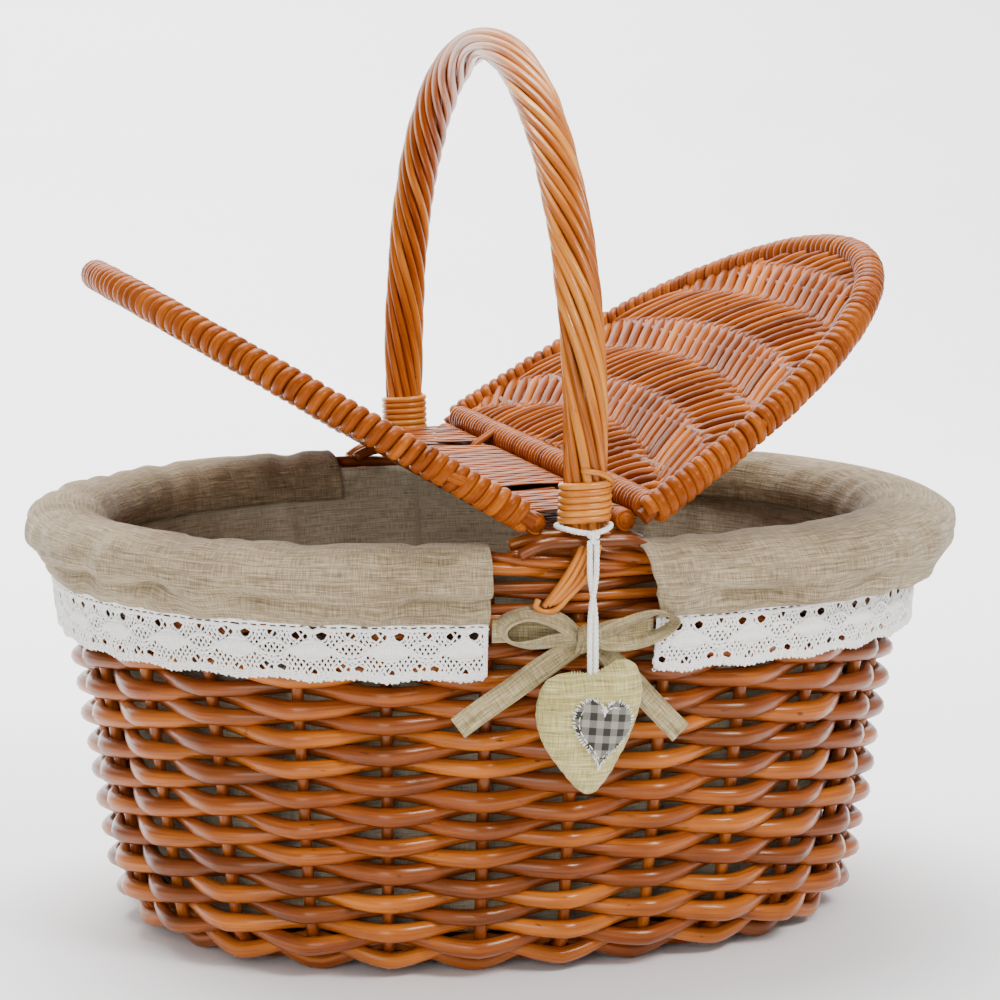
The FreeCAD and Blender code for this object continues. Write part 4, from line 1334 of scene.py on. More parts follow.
    def wrapped_bar(self) -> MeshParts:
        """Wrap a rod round the straight bar, open at the hinge loops.

        Returns:
            The gathered turns.
        """
        parts = MeshParts()
        reach = float(self.chord(np.array([self.bar_x + self.border]), self.edge)[0]) - self.border * 0.6
        near, far = self.loop_spread - self.loop_room, self.loop_spread + self.loop_room
        stops = (-reach, -far, -near, near, far, reach)
        for first, last in zip(stops[::2], stops[1::2]):
            y = np.linspace(first, last, 80)
            line = table(self.bar_x, y, 0.0)
            self.wind(parts, line, self.bar_turn, self.bar_turn, self.border - 0.5 * MM)
        return parts

    def loops(self) -> MeshParts:
        """Loop split willow round the hinge bar and the lid's bar.

        Returns:
            The gathered loops.
        """
        parts = MeshParts()
        gap = self.bar_x - self.hinge_x
        ring = stadium(0.0, gap, self.loop_reach, 12, 4)
        base = np.clip(ring[:, 0], 0, gap)
        normal = table(ring[:, 0] - base, 0.0, ring[:, 1])
        for y in (-self.loop_spread, self.loop_spread):
            for shift in (-2.05, 2.05):
                path = table(self.hinge_x + ring[:, 0], y + shift * MM, ring[:, 1])
                self.add_rod(parts, path, self.skein, unit(normal), self.rng.random(), wide=1.75,
                             closed=True)
        return parts


# ---- lining, cuffs and lace

@dataclass
class Lining:
    """Cloth inside the basket, turned over the rim in two cuffs edged with lace."""

    shape: WallShape
    cuff_top: float = 187.2 * MM
    bulge: float = 10.0 * MM
    hem: float = 157.0 * MM
    lace_bottom: float = 131.0 * MM
    left_gap: float = 40.0 * MM
    right_gap: float = 30.0 * MM
    cloth: float = 0.9 * MM
    lean: float = 8.0 * MM
    across: float = 0.078
    fullness: float = 1.09
    bag_top: float = 181.0 * MM
    bag_corner: float = 26.0 * MM
    bag_floor: float = 11.5 * MM
    bag_deep: float = 0.29

    def build(self) -> None:
        """Make the bag, both cuffs and both laces."""
        self.build_bag()
        oval = self.shape.oval
        left = (oval.gap_place(-self.left_gap, False), oval.gap_place(-self.left_gap, True))
        right = (oval.gap_place(self.right_gap, True), oval.gap_place(self.right_gap, False) + 1)
        for word, (start, stop), flare, seed in (("left", left, 0.0, 3), ("right", right, 0.011, 5)):
            self.build_cuff(word, start, stop, flare, seed)

    def build_bag(self) -> None:
        """Line the wall and the bottom with soft upright folds."""
        oval = self.shape.oval
        columns, rows = 420, 46
        where = np.linspace(0, 1, columns, endpoint=False)
        skin = self.shape.thickness + 2.2 * MM
        folds = ripple(where, 71, 8, 5, 34)
        creases = np.maximum(0, ripple(where, 72, 6, 17, 43)) ** 2
        grid = []
        top, low, floor = self.bag_top, self.bag_corner, self.bag_floor
        for row in range(rows):
            share = row / (rows - 1)
            height = top + (low - top) * min(1.0, share / 0.62)
            if share <= 0.62:
                depth = np.sin(math.pi * min(1.0, share / 0.62 * 0.9 + 0.06))
                inward = (1.6 * (folds + 1) + 2.4 * creases) * MM * depth
                offset = self.shape.outer(height) - skin - inward
                grid.append(oval.places(where, offset, height))
            elif share <= 0.72:
                bend = (share - 0.62) / 0.10 * math.pi / 2
                offset = self.shape.outer(low) - skin - 1.6 * MM - 13 * MM * (1 - math.cos(bend))
                offset -= 14 * MM * (1 - math.cos(bend))
                grid.append(oval.places(where, offset, low - (low - floor) * math.sin(bend)))
            else:
                left = 1 - (share - 0.72) / 0.28
                edge = oval.places(where, self.shape.outer(low) - skin - 28.6 * MM, floor)
                edge[:, :2] *= max(left, 0.004)
                edge[:, 2] += 0.5 * MM * ripple(where, 90 + row, 3, 2, 6) * left
                grid.append(edge)
        parts = MeshParts()
        parts.cloth(np.array(grid), (oval.girth(), self.bag_deep), wrap=True)
        # The bag takes the paler copy of the lining linen: painted light on the inner lining, which the lids
        # shade.
        bag = parts.make("lining_cloth", LINEN_PAINTED_LIGHTER)
        thicken(bag, self.cloth)
        place(bag, "linen", "lining_bag")

    def profile(self, share: Array) -> tuple[Array, Array]:
        """Follow the cuff from inside the rim, over it and down to the hem.

        Args:
            share: 0 inside to 1 at the hem.

        Returns:
            Offset and height.
        """
        outer = self.shape.outer(self.hem) + 2.6 * MM
        knots = np.array([(-26.0, 168.5), (-25.2, 176.5), (-20.0, 184.6), (-12.0, 188.2), (-3.5, 188.6),
                          (4.0, 186.2), (8.8, 181.0), (10.2, 174.5), (8.6, 168.0), (5.2, 162.3),
                          (outer / MM, 157.0)])
        knots[:, 1] += self.cuff_top / MM - 188.5
        line = smooth_path(knots, 8)
        run = along(line)
        at = share * run[-1]
        return np.interp(at, run, line[:, 0]) * MM, np.interp(at, run, line[:, 1]) * MM

    def build_cuff(self, word: str, start: float, stop: float, flare: float, seed: int) -> None:
        """Turn the cloth over the rim between two places.

        Args:
            word: left or right.
            start: First place round the oval.
            stop: Last place.
            flare: How far the first edge reaches back at the top of the roll.
            seed: Seed for its folds.
        """
        oval = self.shape.oval
        columns, rows = 340, 52
        share = np.linspace(0, 1, rows)
        offset, height = self.profile(share)
        slope_off, slope_z = np.gradient(offset), np.gradient(height)
        length = np.hypot(slope_off, slope_z)
        normal_off, normal_z = slope_z / -length, slope_off / length
        if normal_off[rows * 2 // 3] < 0:
            normal_off, normal_z = -normal_off, -normal_z
        grid = np.zeros((rows, columns, 3))
        round_share = np.linspace(0, 1, columns)
        for row in range(rows):
            v = share[row]
            where = np.linspace(start - flare * (1 - v ** 3) ** 2, stop, columns)
            slow = ripple(round_share + 0.03 * v, seed, 5, 2, 9)
            fold = ripple(round_share + 0.10 * v, seed + 1, 6, 7, 26)
            dent = np.exp(-((v - 0.84 - 0.02 * ripple(round_share, seed + 2, 4, 1, 5)) / 0.055) ** 2)
            dent *= 0.75 + 0.6 * ripple(round_share, seed + 3, 5, 3, 13)
            second = np.exp(-((v - 0.70 - 0.05 * ripple(round_share, seed + 4, 4, 1, 6)) / 0.045) ** 2)
            second *= np.maximum(0, ripple(round_share, seed + 5, 4, 3, 9))
            hold = min(1.0, v / 0.2) * min(1.0, (1 - v) / 0.08)
            move = (1.1 * slow + 0.8 * fold) * (0.25 + 0.75 * hold)
            move -= (5.2 * dent + 2.4 * second) * hold
            level = oval.outward(where)[:, 0]
            loose = min(1.0, max(0.0, (v - 0.48) / 0.2))
            move += (self.lean / MM * np.maximum(level, 0) + 1.5 * np.minimum(level, 0)) * loose * hold
            move = np.minimum(move, 0.2 + 10 * (1 - max(0.0, normal_z[row])) ** 1.3)
            move *= MM
            grid[row] = oval.places(where, offset[row] + move * normal_off[row],
                                    height[row] + move * normal_z[row] + 0.5 * MM * slow * (v > 0.9))
        parts = MeshParts()
        long = (stop - start) * oval.girth() * self.fullness
        parts.cloth(grid, (long, self.across))
        cuff = parts.make(f"cuff_cloth_{word}", LINEN)
        thicken(cuff, self.cloth)
        place(cuff, "linen", f"cuff_{word}")
        lace = self.build_lace(word, start, stop, seed)

    def build_lace(self, word: str, start: float, stop: float, seed: int) -> bpy.types.Object:
        """Knot the lace: a ladder heading, a mesh ground, cloth ovals and a scalloped foot.

        Args:
            word: left or right.
            start: First place round the oval.
            stop: Last place.
            seed: Seed for its ripple.

        Returns:
            The lace.
        """
        lace = LaceBand(self.shape, start, stop, self.hem + 0.5 * MM, self.lace_bottom, seed)
        piece = lace.knot().make(f"lace_band_{word}", LACE_COTTON)
        return place(piece, "lace", f"lace_{word}")


@dataclass
class LaceBand:
    """Threads of a cotton lace, drawn flat and laid on the wall below the hem."""

    shape: WallShape
    start: float
    stop: float
    top: float
    bottom: float
    seed: int
    motif: float = 28.0 * MM
    thread: float = 0.42 * MM
    mesh: float = 2.15 * MM
    leaf_depth: float = 12.6 * MM

    def lay(self, u: Array, v: Array, out: float | Array) -> tuple[Array, Array]:
        """Lay flat lace places on the basket.

        Args:
            u: Length along the band.
            v: Length down from the heading.
            out: Distance off the band's own surface.

        Returns:
            Points and outward directions.
        """
        oval = self.shape.oval
        long = (self.stop - self.start) * oval.girth()
        where = self.start + (self.stop - self.start) * u / long
        height = self.top - v
        fall = np.clip(v / (26 * MM), 0, 1)
        top_offset = self.shape.outer(self.top) + 3.0 * MM
        foot_offset = self.shape.outer(self.bottom) + 3.2 * MM
        wave = 0.9 * MM * fall * ripple(u / long, self.seed + 20, 6, 4, 30)
        wave = wave + 3.0 * MM * np.maximum(0, oval.outward(where)[:, 0]) * fall
        offset = top_offset + (foot_offset - top_offset) * fall + wave + out
        return oval.places(where, offset, height), oval.outward(where)

    def pull(self, u: Array, v: Array) -> tuple[Array, Array]:
        """Pull threads aside round the larger holes of each motif.

        Args:
            u: Lengths along the band.
            v: Lengths down from the heading.

        Returns:
            The same places, pulled.
        """
        cell = (u / self.motif) % 1.0
        base = u - cell * self.motif
        for cu, cv, size in ((0.36, 6.3, 1.25), (0.64, 6.3, 1.25), (0.0, 5.6, 0.9), (0.5, 3.4, 0.8),
                             (0.10, 20.0, 1.15), (0.90, 20.0, 1.15), (0.5, 21.3, 0.9)):
            for lap in (-1, 0, 1):
                du = (u - base - (cu + lap) * self.motif) / 1.7
                dv = v - cv * MM
                far = np.sqrt(du ** 2 + dv ** 2) + 1e-9
                push = size * MM * np.exp(-(far / (size * 1.6 * MM)) ** 2)
                u = u + 1.7 * du / far * push
                v = v + dv / far * push
        return u, v

    def foot(self, u: Array) -> Array:
        """Length down to the scalloped foot."""
        deep = 25.2 * MM - 1.8 * MM * np.abs(np.sin(math.pi * (u / self.motif + 0.5)))
        return deep + 0.5 * MM * np.cos(TAU * u / (self.motif / 7))

    def strand(self, parts: MeshParts, u: Array, v: Array, thick: float, out: float | Array = 0.0,
               pulled: bool = True) -> None:
        """Add one thread.

        Args:
            parts: Where it goes.
            u: Lengths along the band.
            v: Lengths down from the heading.
            thick: Radius.
            out: Distance off the band.
            pulled: The thread gives way round the holes.
        """
        if pulled:
            u, v = self.pull(u, v)
        long = (self.stop - self.start) * self.shape.oval.girth()
        inside = (u > 0.2 * MM) & (u < long - 0.2 * MM) & (v < self.foot(u) + 0.4 * MM)
        if inside.sum() < 3:
            return
        stretch = np.flatnonzero(inside)
        keep = slice(stretch[0], stretch[-1] + 1)
        amount = out[keep] if isinstance(out, np.ndarray) else out
        points, outward = self.lay(u[keep], v[keep], amount)
        parts.rod(points, thick, outward, 0.5, sides=5, wide=1.25)

    def knot(self) -> MeshParts:
        """Knot the whole band.

        Returns:
            The gathered threads.
        """
        parts = MeshParts()
        long = (self.stop - self.start) * self.shape.oval.girth()
        u = np.linspace(0, long, int(long / (1.1 * MM)))
        for depth, thick in ((0.5, 0.75), (1.5, 0.6), (3.4, 0.5), (4.0, 0.45)):
            self.strand(parts, u, depth * MM + 0.15 * MM * np.sin(u * 900), thick * MM, 0.2 * MM)
        for step, spread in ((3.6 * MM, 0.9 * MM), (3.6 * MM, -0.9 * MM)):
            for at in np.arange(0, long, step):
                v = np.linspace(0.5 * MM, 4.0 * MM, 5)
                self.strand(parts, at + spread * (v - 2.2 * MM) / (1.8 * MM), v, 0.5 * MM)
        down = np.linspace(3.8 * MM, 26 * MM, 22)
        for slope in (-0.62, 0.62):
            for number, at in enumerate(np.arange(-16 * MM, long + 16 * MM, self.mesh)):
                sway = 0.12 * MM * np.sin(down * 700 + number)
                over = 0.22 * MM * np.sin(down * 1450 + number * math.pi + (0 if slope > 0 else math.pi))
                self.strand(parts, at + slope * (down - 15 * MM) + sway, down, self.thread, over)
        for depth, swing, phase in ((11.8, 3.2, 0.0), (11.8, 3.2, 0.5), (12.4, 4.6, 0.0), (12.4, 4.6, 0.5)):
            v = depth * MM + swing * MM * np.cos(TAU * (u / self.motif + phase)) * 0.9
            self.strand(parts, u, v, 0.5 * MM, 0.3 * MM, pulled=False)
        for inset, thick in ((0.0, 0.55), (1.15, 0.45), (2.2, 0.4)):
            self.strand(parts, u, self.foot(u) - inset * MM, thick * MM, 0.1 * MM, pulled=False)
        for at in np.arange(0.8 * MM, long, 2.0 * MM):
            v = np.array([0, 0.7, 1.15, 0.7, 0.0]) * MM
            du = np.array([-0.8, -0.55, 0.0, 0.55, 0.8]) * MM
            base = self.foot(np.array([at]))[0]
            points, outward = self.lay(at + du, base + v, 0.0)
            if at + 1 * MM < long:
                parts.rod(points, 0.3 * MM, outward, 0.5, sides=5)
        for centre in np.arange(0.5 * self.motif, long, self.motif):
            self.oval_leaf(parts, centre)
        self.end_turn(parts, long)
        return parts

    def oval_leaf(self, parts: MeshParts, centre: float) -> None:
        """Work one solid cloth oval of close threads.

        Args:
            parts: Where it goes.
            centre: Its middle, along the band.
        """
        half, tall = 7.6 * MM, 3.3 * MM
        for lengthwise, ends, lines, samples, thick, lift in ((True, 0.94, 9, 14, 0.46, 0.25),
                                                              (False, 0.92, 17, 8, 0.34, 0.5)):
            for line in np.linspace(-ends, ends, lines):
                run = np.linspace(-1, 1, samples) * math.sqrt(1 - line ** 2)
                still = np.full_like(run, line)
                u, v = (run, still) if lengthwise else (still, run)
                crown = 0.55 * (1 - run ** 2) * (1 - line ** 2) + lift
                self.strand(parts, centre + u * half, self.leaf_depth + v * tall, thick * MM, crown * MM,
                            pulled=False)

    def end_turn(self, parts: MeshParts, long: float) -> None:
        """Finish both cut ends with a turned edge.

        Args:
            parts: Where it goes.
            long: Length of the band.
        """
        for at, lean in ((0.8 * MM, 1), (long - 0.8 * MM, -1)):
            for shift in (0.0, 0.9):
                v = np.linspace(0, 23.5 * MM, 20)
                u = np.full_like(v, at + lean * shift * MM)
                points, outward = self.lay(u, v, 0.2 * MM)
                parts.rod(points, 0.55 * MM, outward, 0.5, sides=5)


# ---- ribbon bow

@dataclass(frozen=True)
class Strip:
    """Route of one ribbon of the bow, in millimetres.

    Each row holds a point of its middle as x, distance off the wall and z, the way its width lies as
    three numbers, and its width.
    """

    name: str
    node: str
    long: float
    cup: float
    rows: tuple[tuple[float, ...], ...]


STRIPS = (
    Strip("loop_left", "loops", 0.078, 0.3, (
        (-2.5, 6.2, 149.5, 0.1, 0.35, 1, 6.5), (-10, 7.3, 155.5, 0.25, 0.75, 0.75, 9),
        (-20, 7.4, 160, 0.2, 0.95, 0.5, 10.2), (-29, 7, 160, 0, 1, 0.35, 10.2),
        (-36, 5.6, 155.5, -0.3, 1, 0.2, 10), (-33, 5, 149.5, -0.1, 1, -0.1, 9.5),
        (-24, 5.5, 147.6, 0.1, 0.9, -0.5, 9), (-12, 6, 149, 0.1, 0.6, -0.8, 8),
        (-2.5, 5.5, 148.8, 0, 0.4, -1, 6))),
    Strip("loop_right", "", 0.078, 0.3, (
        (2.5, 6.2, 149.5, 0.1, -0.35, 1, 6.5), (11, 7.3, 153, -0.15, -0.75, 0.8, 9),
        (22, 7.4, 157, -0.2, -0.95, 0.6, 10), (31, 7, 158.4, -0.2, -1, 0.3, 10),
        (37, 6, 154.5, 0.2, -1, 0.1, 9.6), (31, 5.2, 149.5, 0.2, -1, -0.3, 9.2),
        (20, 5.2, 147, 0, -0.8, -0.7, 8.6), (10, 5.6, 147, 0, -0.5, -0.9, 8),
        (2.5, 5.5, 148.4, 0, -0.4, -1, 6))),
    Strip("end_left", "tails", 0.066, 0.35, (
        (-2, 4.9, 147, -0.45, 0.3, 0.8, 6.5), (-8, 4.7, 144, -0.5, 0.2, 0.85, 8.5),
        (-18, 4.4, 137.8, -0.52, 0.1, 0.85, 9.4), (-32, 4.2, 128.6, -0.54, 0, 0.82, 9.8),
        (-44, 4, 121, -0.56, 0.05, 0.8, 9.8), (-53.5, 3.8, 114.5, -0.58, 0, 0.8, 10))),
    Strip("end_right", "", 0.058, 0.35, (
        (2, 5, 146.6, 0.6, 0.2, 0.7, 6.5), (8, 4.8, 142, 0.65, 0.1, 0.7, 8.5),
        (16, 4.4, 134, 0.68, 0, 0.7, 9.2), (25, 4.2, 124, 0.7, 0, 0.7, 9.6),
        (33, 4.2, 115.4, 0.7, 0.05, 0.7, 9.6), (40.5, 4, 107.6, 0.7, 0, 0.7, 9.8))),
    Strip("tape_left", "tapes", 0.038, 0.2, (
        (-2, 4.4, 150, 0, 0, 1, 7), (-12, 3.6, 151.6, 0, 0, 1, 8.4), (-24, 2.6, 152.6, 0, 0, 1, 9),
        (-38.8, 2.4, 153.2, 0, 0, 1, 9.4))),
    Strip("tape_right", "", 0.028, 0.2, (
        (2, 4.4, 150, 0, 0, 1, 7), (10, 3.6, 151.4, 0, 0, 1, 8.4), (19, 3, 152.2, 0, 0, 1, 9),
        (28.8, 2.4, 153, 0, 0, 1, 9.4))),
)


@dataclass
class Bow:
    """Ribbon bow tied across the gap between the cuffs."""

    shape: WallShape
    front: bool
    knot_height: float = 149.0
    width: float = 8.0
    cloth: float = 0.7 * MM

    def ribbon(self, strip: Strip) -> MeshParts:
        """Lay a ribbon along its route.

        Args:
            strip: The route.

        Returns:
            The gathered strip.
        """
        fine = smooth_path(strip.rows, 9)
        face = self.shape.oval.half_width / MM + self.shape.outer(self.knot_height * MM) / MM
        spin = 1 if self.front else -1
        middle = table(fine[:, 0], -(face + fine[:, 1]), fine[:, 2])
        wide = unit(fine[:, 3:6])
        normal = unit(np.cross(unit(np.gradient(middle, axis=0)), wide))
        shares = np.linspace(-0.5, 0.5, 9)
        crease = 0.22 * np.sin(np.linspace(0, 9, len(fine)))
        rows = []
        for share in shares:
            lift = strip.cup * (1 - (2 * share) ** 2) + crease * math.sin(share * 11)
            rows.append(middle + wide * (share * fine[:, 6:7]) + normal * lift[:, None])
        grid = np.array(rows) * MM
        grid[:, :, :2] *= spin
        parts = MeshParts()
        parts.cloth(grid, (float(along(middle)[-1]) * MM, self.width * MM))
        return parts

    def build(self) -> None:
        """Make the loops, the loose ends, the tapes to the cuffs and the knot."""
        word = "front" if self.front else "back"
        for strip in STRIPS:
            piece = self.ribbon(strip).make(f"bow_{word}_{strip.name}", RIBBON)
            thicken(piece, self.cloth)
            place(piece, "ribbon", *([f"bow_{word}_{strip.node}"] if strip.node else []))
        self.build_knot(word)

    def build_knot(self, word: str) -> None:
        """Wrap the middle of the bow with one creased turn of ribbon.

        Args:
            word: front or back.
        """
        turn = np.linspace(0, TAU, 40, endpoint=False)
        face = self.shape.oval.half_width + self.shape.outer(self.knot_height * MM)
        spin = 1 if self.front else -1
        rows = []
        for share in np.linspace(-1, 1, 17):
            belly = math.sqrt(max(0.0, 1 - (share * 0.86) ** 2))
            crease = 1 + 0.05 * math.sin(share * 13) + 0.03 * np.sin(turn * 2 + share * 4)
            out = 3.5 * MM * (0.45 + 0.55 * belly) * crease
            tall = 5.2 * MM * (0.55 + 0.45 * belly) * crease
            x = share * 4.7 * MM + 0.5 * MM * np.sin(turn)
            y = -(face + 5.9 * MM + out * np.cos(turn))
            z = self.knot_height * MM + tall * np.sin(turn) + share * 0.6 * MM
            rows.append(table(spin * x, spin * y, z))
        parts = MeshParts()
        parts.cloth(np.array(rows), (0.03, 0.0095), wrap=True)
        knot = parts.make(f"bow_{word}_knot_turn", RIBBON)
        thicken(knot, 0.6 * MM, -1)
        place(knot, "ribbon", f"bow_{word}_knot")


# ---- hanging heart

@dataclass
class Pendant:
    """Cord round the front foot, its knot, two strands and the stuffed heart with its patch."""

    arch: Arch
    depth: float = 164.0 * MM
    cord: float = 1.2 * MM
    ring_height: float = 192.7 * MM
    knot_height: float = 191.7 * MM
    half_width: float = 9.5 * MM
    half_depth: float = 7.25 * MM
    heart_height: float = 116.0
    puff: float = 8.4
    patch_middle: tuple[float, float] = (1.6, 112.4)
    patch_half: tuple[float, float] = (12.4, 14.2)
    patch_lean: float = -6.0
    frays: int = 230
    strands: list[bpy.types.Object] = field(default_factory=list)
    lines: list[Array] = field(default_factory=list)

    def build_cords(self) -> None:
        """Make the two hanging strands."""
        for index, (high, low) in enumerate(((-1.45, -1.3), (1.45, 1.15))):
            y = -self.depth / MM
            route = [(high, y, 190.0), (high, y - 0.05, 183.0), (high * 0.8, y - high * 0.35, 174.0),
                     (-high * 0.75, y - high * 0.5, 163.0), (-high * 0.9, y, 152.0), (-low, y, 138.0),
                     (-low, y, 135.8)]
            self.strands.append(self.hang(f"cord_strand_{'ab'[index]}", route))

    def hang(self, name: str, route: Sequence[Spot]) -> bpy.types.Object:
        """Lay three plies along one strand's route.

        Args:
            name: Piece name.
            route: Points that the strand hangs through, in millimetres.

        Returns:
            The strand.
        """
        curve = bpy.data.curves.new(f"{name}_route", "CURVE")
        curve.dimensions = "3D"
        spline = curve.splines.new("NURBS")
        spline.points.add(len(route) - 1)
        for point, spot in zip(spline.points, route):
            point.co = (*(c * MM for c in spot), 1.0)
        spline.order_u = 3
        spline.use_endpoint_u = True
        spline.resolution_u = 12
        guide = stand(f"{name}_route", curve)
        mesh = bpy.data.meshes.new_from_object(guide)
        line = np.array([v.co[:] for v in mesh.vertices])
        bpy.data.meshes.remove(mesh)
        bpy.data.objects.remove(guide)
        piece = twisted_cord(line, self.cord, TOWARDS, closed=False).make(name, CORD_COTTON)
        self.lines.append(line)
        return place(piece, "cord", body="pendant")

    def build(self) -> None:
        self.build_ring()
        self.build_knot()
        heart = self.build_heart()
        patch = self.build_patch()
        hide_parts("cord_strands")

    def build_ring(self) -> None:
        """Pass the cord round the foot, dropping to the knot in front."""
        turn = np.linspace(0, TAU, 90, endpoint=False)
        foot = self.arch.foot(self.ring_height, True)
        out = self.cord + 0.4 * MM
        front = np.maximum(0, -np.sin(turn))
        x = (self.half_width + out) * np.cos(turn)
        y = foot + (self.half_depth + out) * np.sin(turn) - 2.2 * MM * front ** 3
        z = self.ring_height + 0.4 * MM + 1.2 * MM * np.abs(np.cos(turn)) - 0.6 * MM * front ** 2
        path = table(x, y, z)
        centre = np.array([0.0, foot, self.ring_height])
        ring = twisted_cord(path, self.cord, path - centre, closed=True).make("cord_loop", CORD_COTTON)
        place(ring, "cord", "cord_ring")

    def build_knot(self) -> None:
        """Tie the small overhand knot that the strands hang from."""
        turn = np.linspace(0, TAU, 120, endpoint=False)
        size = 1.15 * MM
        x = size * (np.sin(turn) + 1.5 * np.sin(2 * turn)) * 0.62
        z = size * (np.cos(turn) - 1.5 * np.cos(2 * turn)) * 0.75
        y = -size * np.sin(3 * turn) * 0.75
        path = table(x, y - self.depth - 0.2 * MM, z + self.knot_height)
        knot = twisted_cord(path, self.cord * 0.85, np.array([0.0, -1.0, 0.05]), closed=True)
        place(knot.make("cord_tie", CORD_COTTON), "cord", "cord_knot", body="pendant_knot")

    def outline(self, turn: Array) -> tuple[Array, Array]:
        """Follow the heart's outline from the notch round by the right, in millimetres.

        Args:
            turn: 0 to 1.

        Returns:
            x and z, with the middle of the heart at 0, 0.
        """
        knots = [(-0.6, 20.0), (4.5, 22.0), (11.0, 25.3), (17.5, 23.6), (20.6, 16.0), (20.4, 8.0),
                 (16.5, -4.0), (10.5, -16.0), (4.5, -25.2), (-1.0, -29.4), (-6.5, -26.8), (-13.5, -18.5),
                 (-20.0, -9.0), (-23.4, 1.0), (-23.2, 9.5), (-20.2, 17.2), (-14.0, 20.6), (-7.0, 20.9),
                 (-0.6, 20.0)]
        line = smooth_path(knots, 10)
        share = along(line) / along(line)[-1]
        return np.interp(turn, share, line[:, 0]), np.interp(turn, share, line[:, 1])

    def build_heart(self) -> bpy.types.Object:
        """Stuff the heart: two puffed faces that meet in a puckered seam.

        Returns:
            The heart.
        """
        columns = 132
        turn = np.linspace(0, 1, columns, endpoint=False)
        x, z = self.outline(turn)
        rows = []
        shares = np.sin(np.linspace(0.03, 1, 26) * math.pi / 2)
        stitches = np.sin(TAU * turn * 31)
        for face in (-1, 1):
            ring = []
            for share in shares:
                pucker = 0.16 * share ** 6 * stitches + 0.3 * ripple(turn, 12, 5, 3, 15) * share ** 2
                reach = share * (1 + 0.004 * share ** 4 * stitches)
                y = face * (self.bulge(share) + pucker * (share < 0.995))
                ring.append(table(x * reach, -self.depth / MM + y, self.heart_height + z * reach))
            rows.append(ring if face < 0 else ring[::-1])
        grid = np.array(rows[0] + rows[1][1:]) * MM
        parts = MeshParts()
        flat = grid.reshape(-1, 3)
        parts.cloth(grid, (0.15, 0.06), wrap=True)
        parts.grain[-1] = table(flat[:, 0], flat[:, 2], 0.0)
        last = len(grid) - 1
        for row, back in ((0, True), (last, False)):
            ids = [row * columns + i for i in range(columns)]
            parts.faces.append(tuple(ids[::-1] if back else ids))
        heart = parts.make("heart_pad", HEART_LINEN)
        place(heart, "heart_linen", "heart", body="pendant")
        self.build_seam(x, z)
        return heart

    def bulge(self, share: float | Array) -> float | Array:
        """How far a face stands off the seam, 0 in the middle to 1 at the outline, in millimetres."""
        return self.puff * (1 - share ** 2.3) ** 0.62

    def build_seam(self, x: Array, z: Array) -> None:
        """Oversew the closed end of the seam beside the cord.

        Args:
            x: Outline x, in millimetres.
            z: Outline z.
        """
        parts = MeshParts()
        for index in range(15):
            at = -8.4 + index * 0.95
            near = int(np.argmin(np.hypot(x - at, z - 21)))
            lean = 0.35
            path = smooth_path([(x[near] - lean, -1.5, z[near] - 1.3), (x[near], -0.4, z[near] + 0.35),
                                (x[near] + lean, 1.2, z[near] - 0.6)], 4)
            path[:, 1] -= self.depth / MM
            path[:, 2] += self.heart_height
            parts.rod(path * MM, 0.22 * MM, (1, 0, 0), 0.5, sides=5)
        place(parts.make("heart_stitches", HEART_LINEN), "heart_linen", body="pendant")

    def build_patch(self) -> bpy.types.Object:
        """Sew the small checked heart on the front, with a frayed edge.

        Returns:
            The patch.
        """
        columns = 96
        turn = np.linspace(0, 1, columns, endpoint=False)
        x, z = heart_curve(turn)
        (middle_x, middle_z), (half_x, half_z) = self.patch_middle, self.patch_half
        lean = math.radians(self.patch_lean)
        rows, grains = [], []
        shares = np.linspace(0.02, 1, 12)
        for share in shares:
            px = share * (x * math.cos(lean) - z * math.sin(lean)) * half_x
            pz = share * (x * math.sin(lean) + z * math.cos(lean)) * half_z
            y = self.face(px + middle_x, pz + middle_z) - 0.45
            rows.append(table(px + middle_x, y, pz + middle_z))
            grains.append(table(share * x * half_x, share * z * half_z, 0.0))
        parts = MeshParts()
        parts.cloth(np.array(rows) * MM, (0.09, 0.016), wrap=True)
        parts.grain[-1] = np.vstack(grains) * MM
        parts.faces.append(tuple(range(columns))[::-1])
        patch = parts.make("heart_patch_cloth", GINGHAM)
        thicken(patch, 0.5 * MM, 1)
        place(patch, "gingham", "heart_patch", body="pendant")
        fringe = MeshParts()
        rng = np.random.default_rng(77)
        edge = rows[-1]
        hub = np.array([middle_x, 0, middle_z])
        for _ in range(self.frays):
            spot = edge[int(rng.integers(0, columns))]
            away = unit((spot - hub) * np.array([1, 0, 1]))
            side = np.array([away[2], 0, -away[0]]) * rng.uniform(-0.8, 0.8)
            start = spot - away * rng.uniform(0.4, 1.3) + np.array([0, -0.35, 0])
            tip = spot + (away + side) * rng.uniform(0.3, 1.3) + np.array([0, rng.uniform(-0.7, 0.1), 0])
            path = smooth_path([start, (start + tip) / 2 + np.array([0, -0.35, 0]), tip], 3)
            fringe.rod(path * MM, rng.uniform(0.08, 0.17) * MM, (0, 1, 0.1), 0.5, sides=4)
        inner = 0.83
        path = table((edge[:, 0] - middle_x) * inner + middle_x, edge[:, 1] - 0.6,
                     (edge[:, 2] - middle_z) * inner + middle_z)
        for start in range(0, columns, 3):
            stitch = path[[start % columns, (start + 1) % columns, (start + 2) % columns]]
            stitch = stitch + np.array([0, -0.1, 0])
            fringe.rod(smooth_path(stitch, 3) * MM, 0.24 * MM, (0, 1, 0.1), 0.5, sides=5)
        place(fringe.make("heart_patch_fray", LACE_COTTON), "gingham", body="pendant")
        return patch

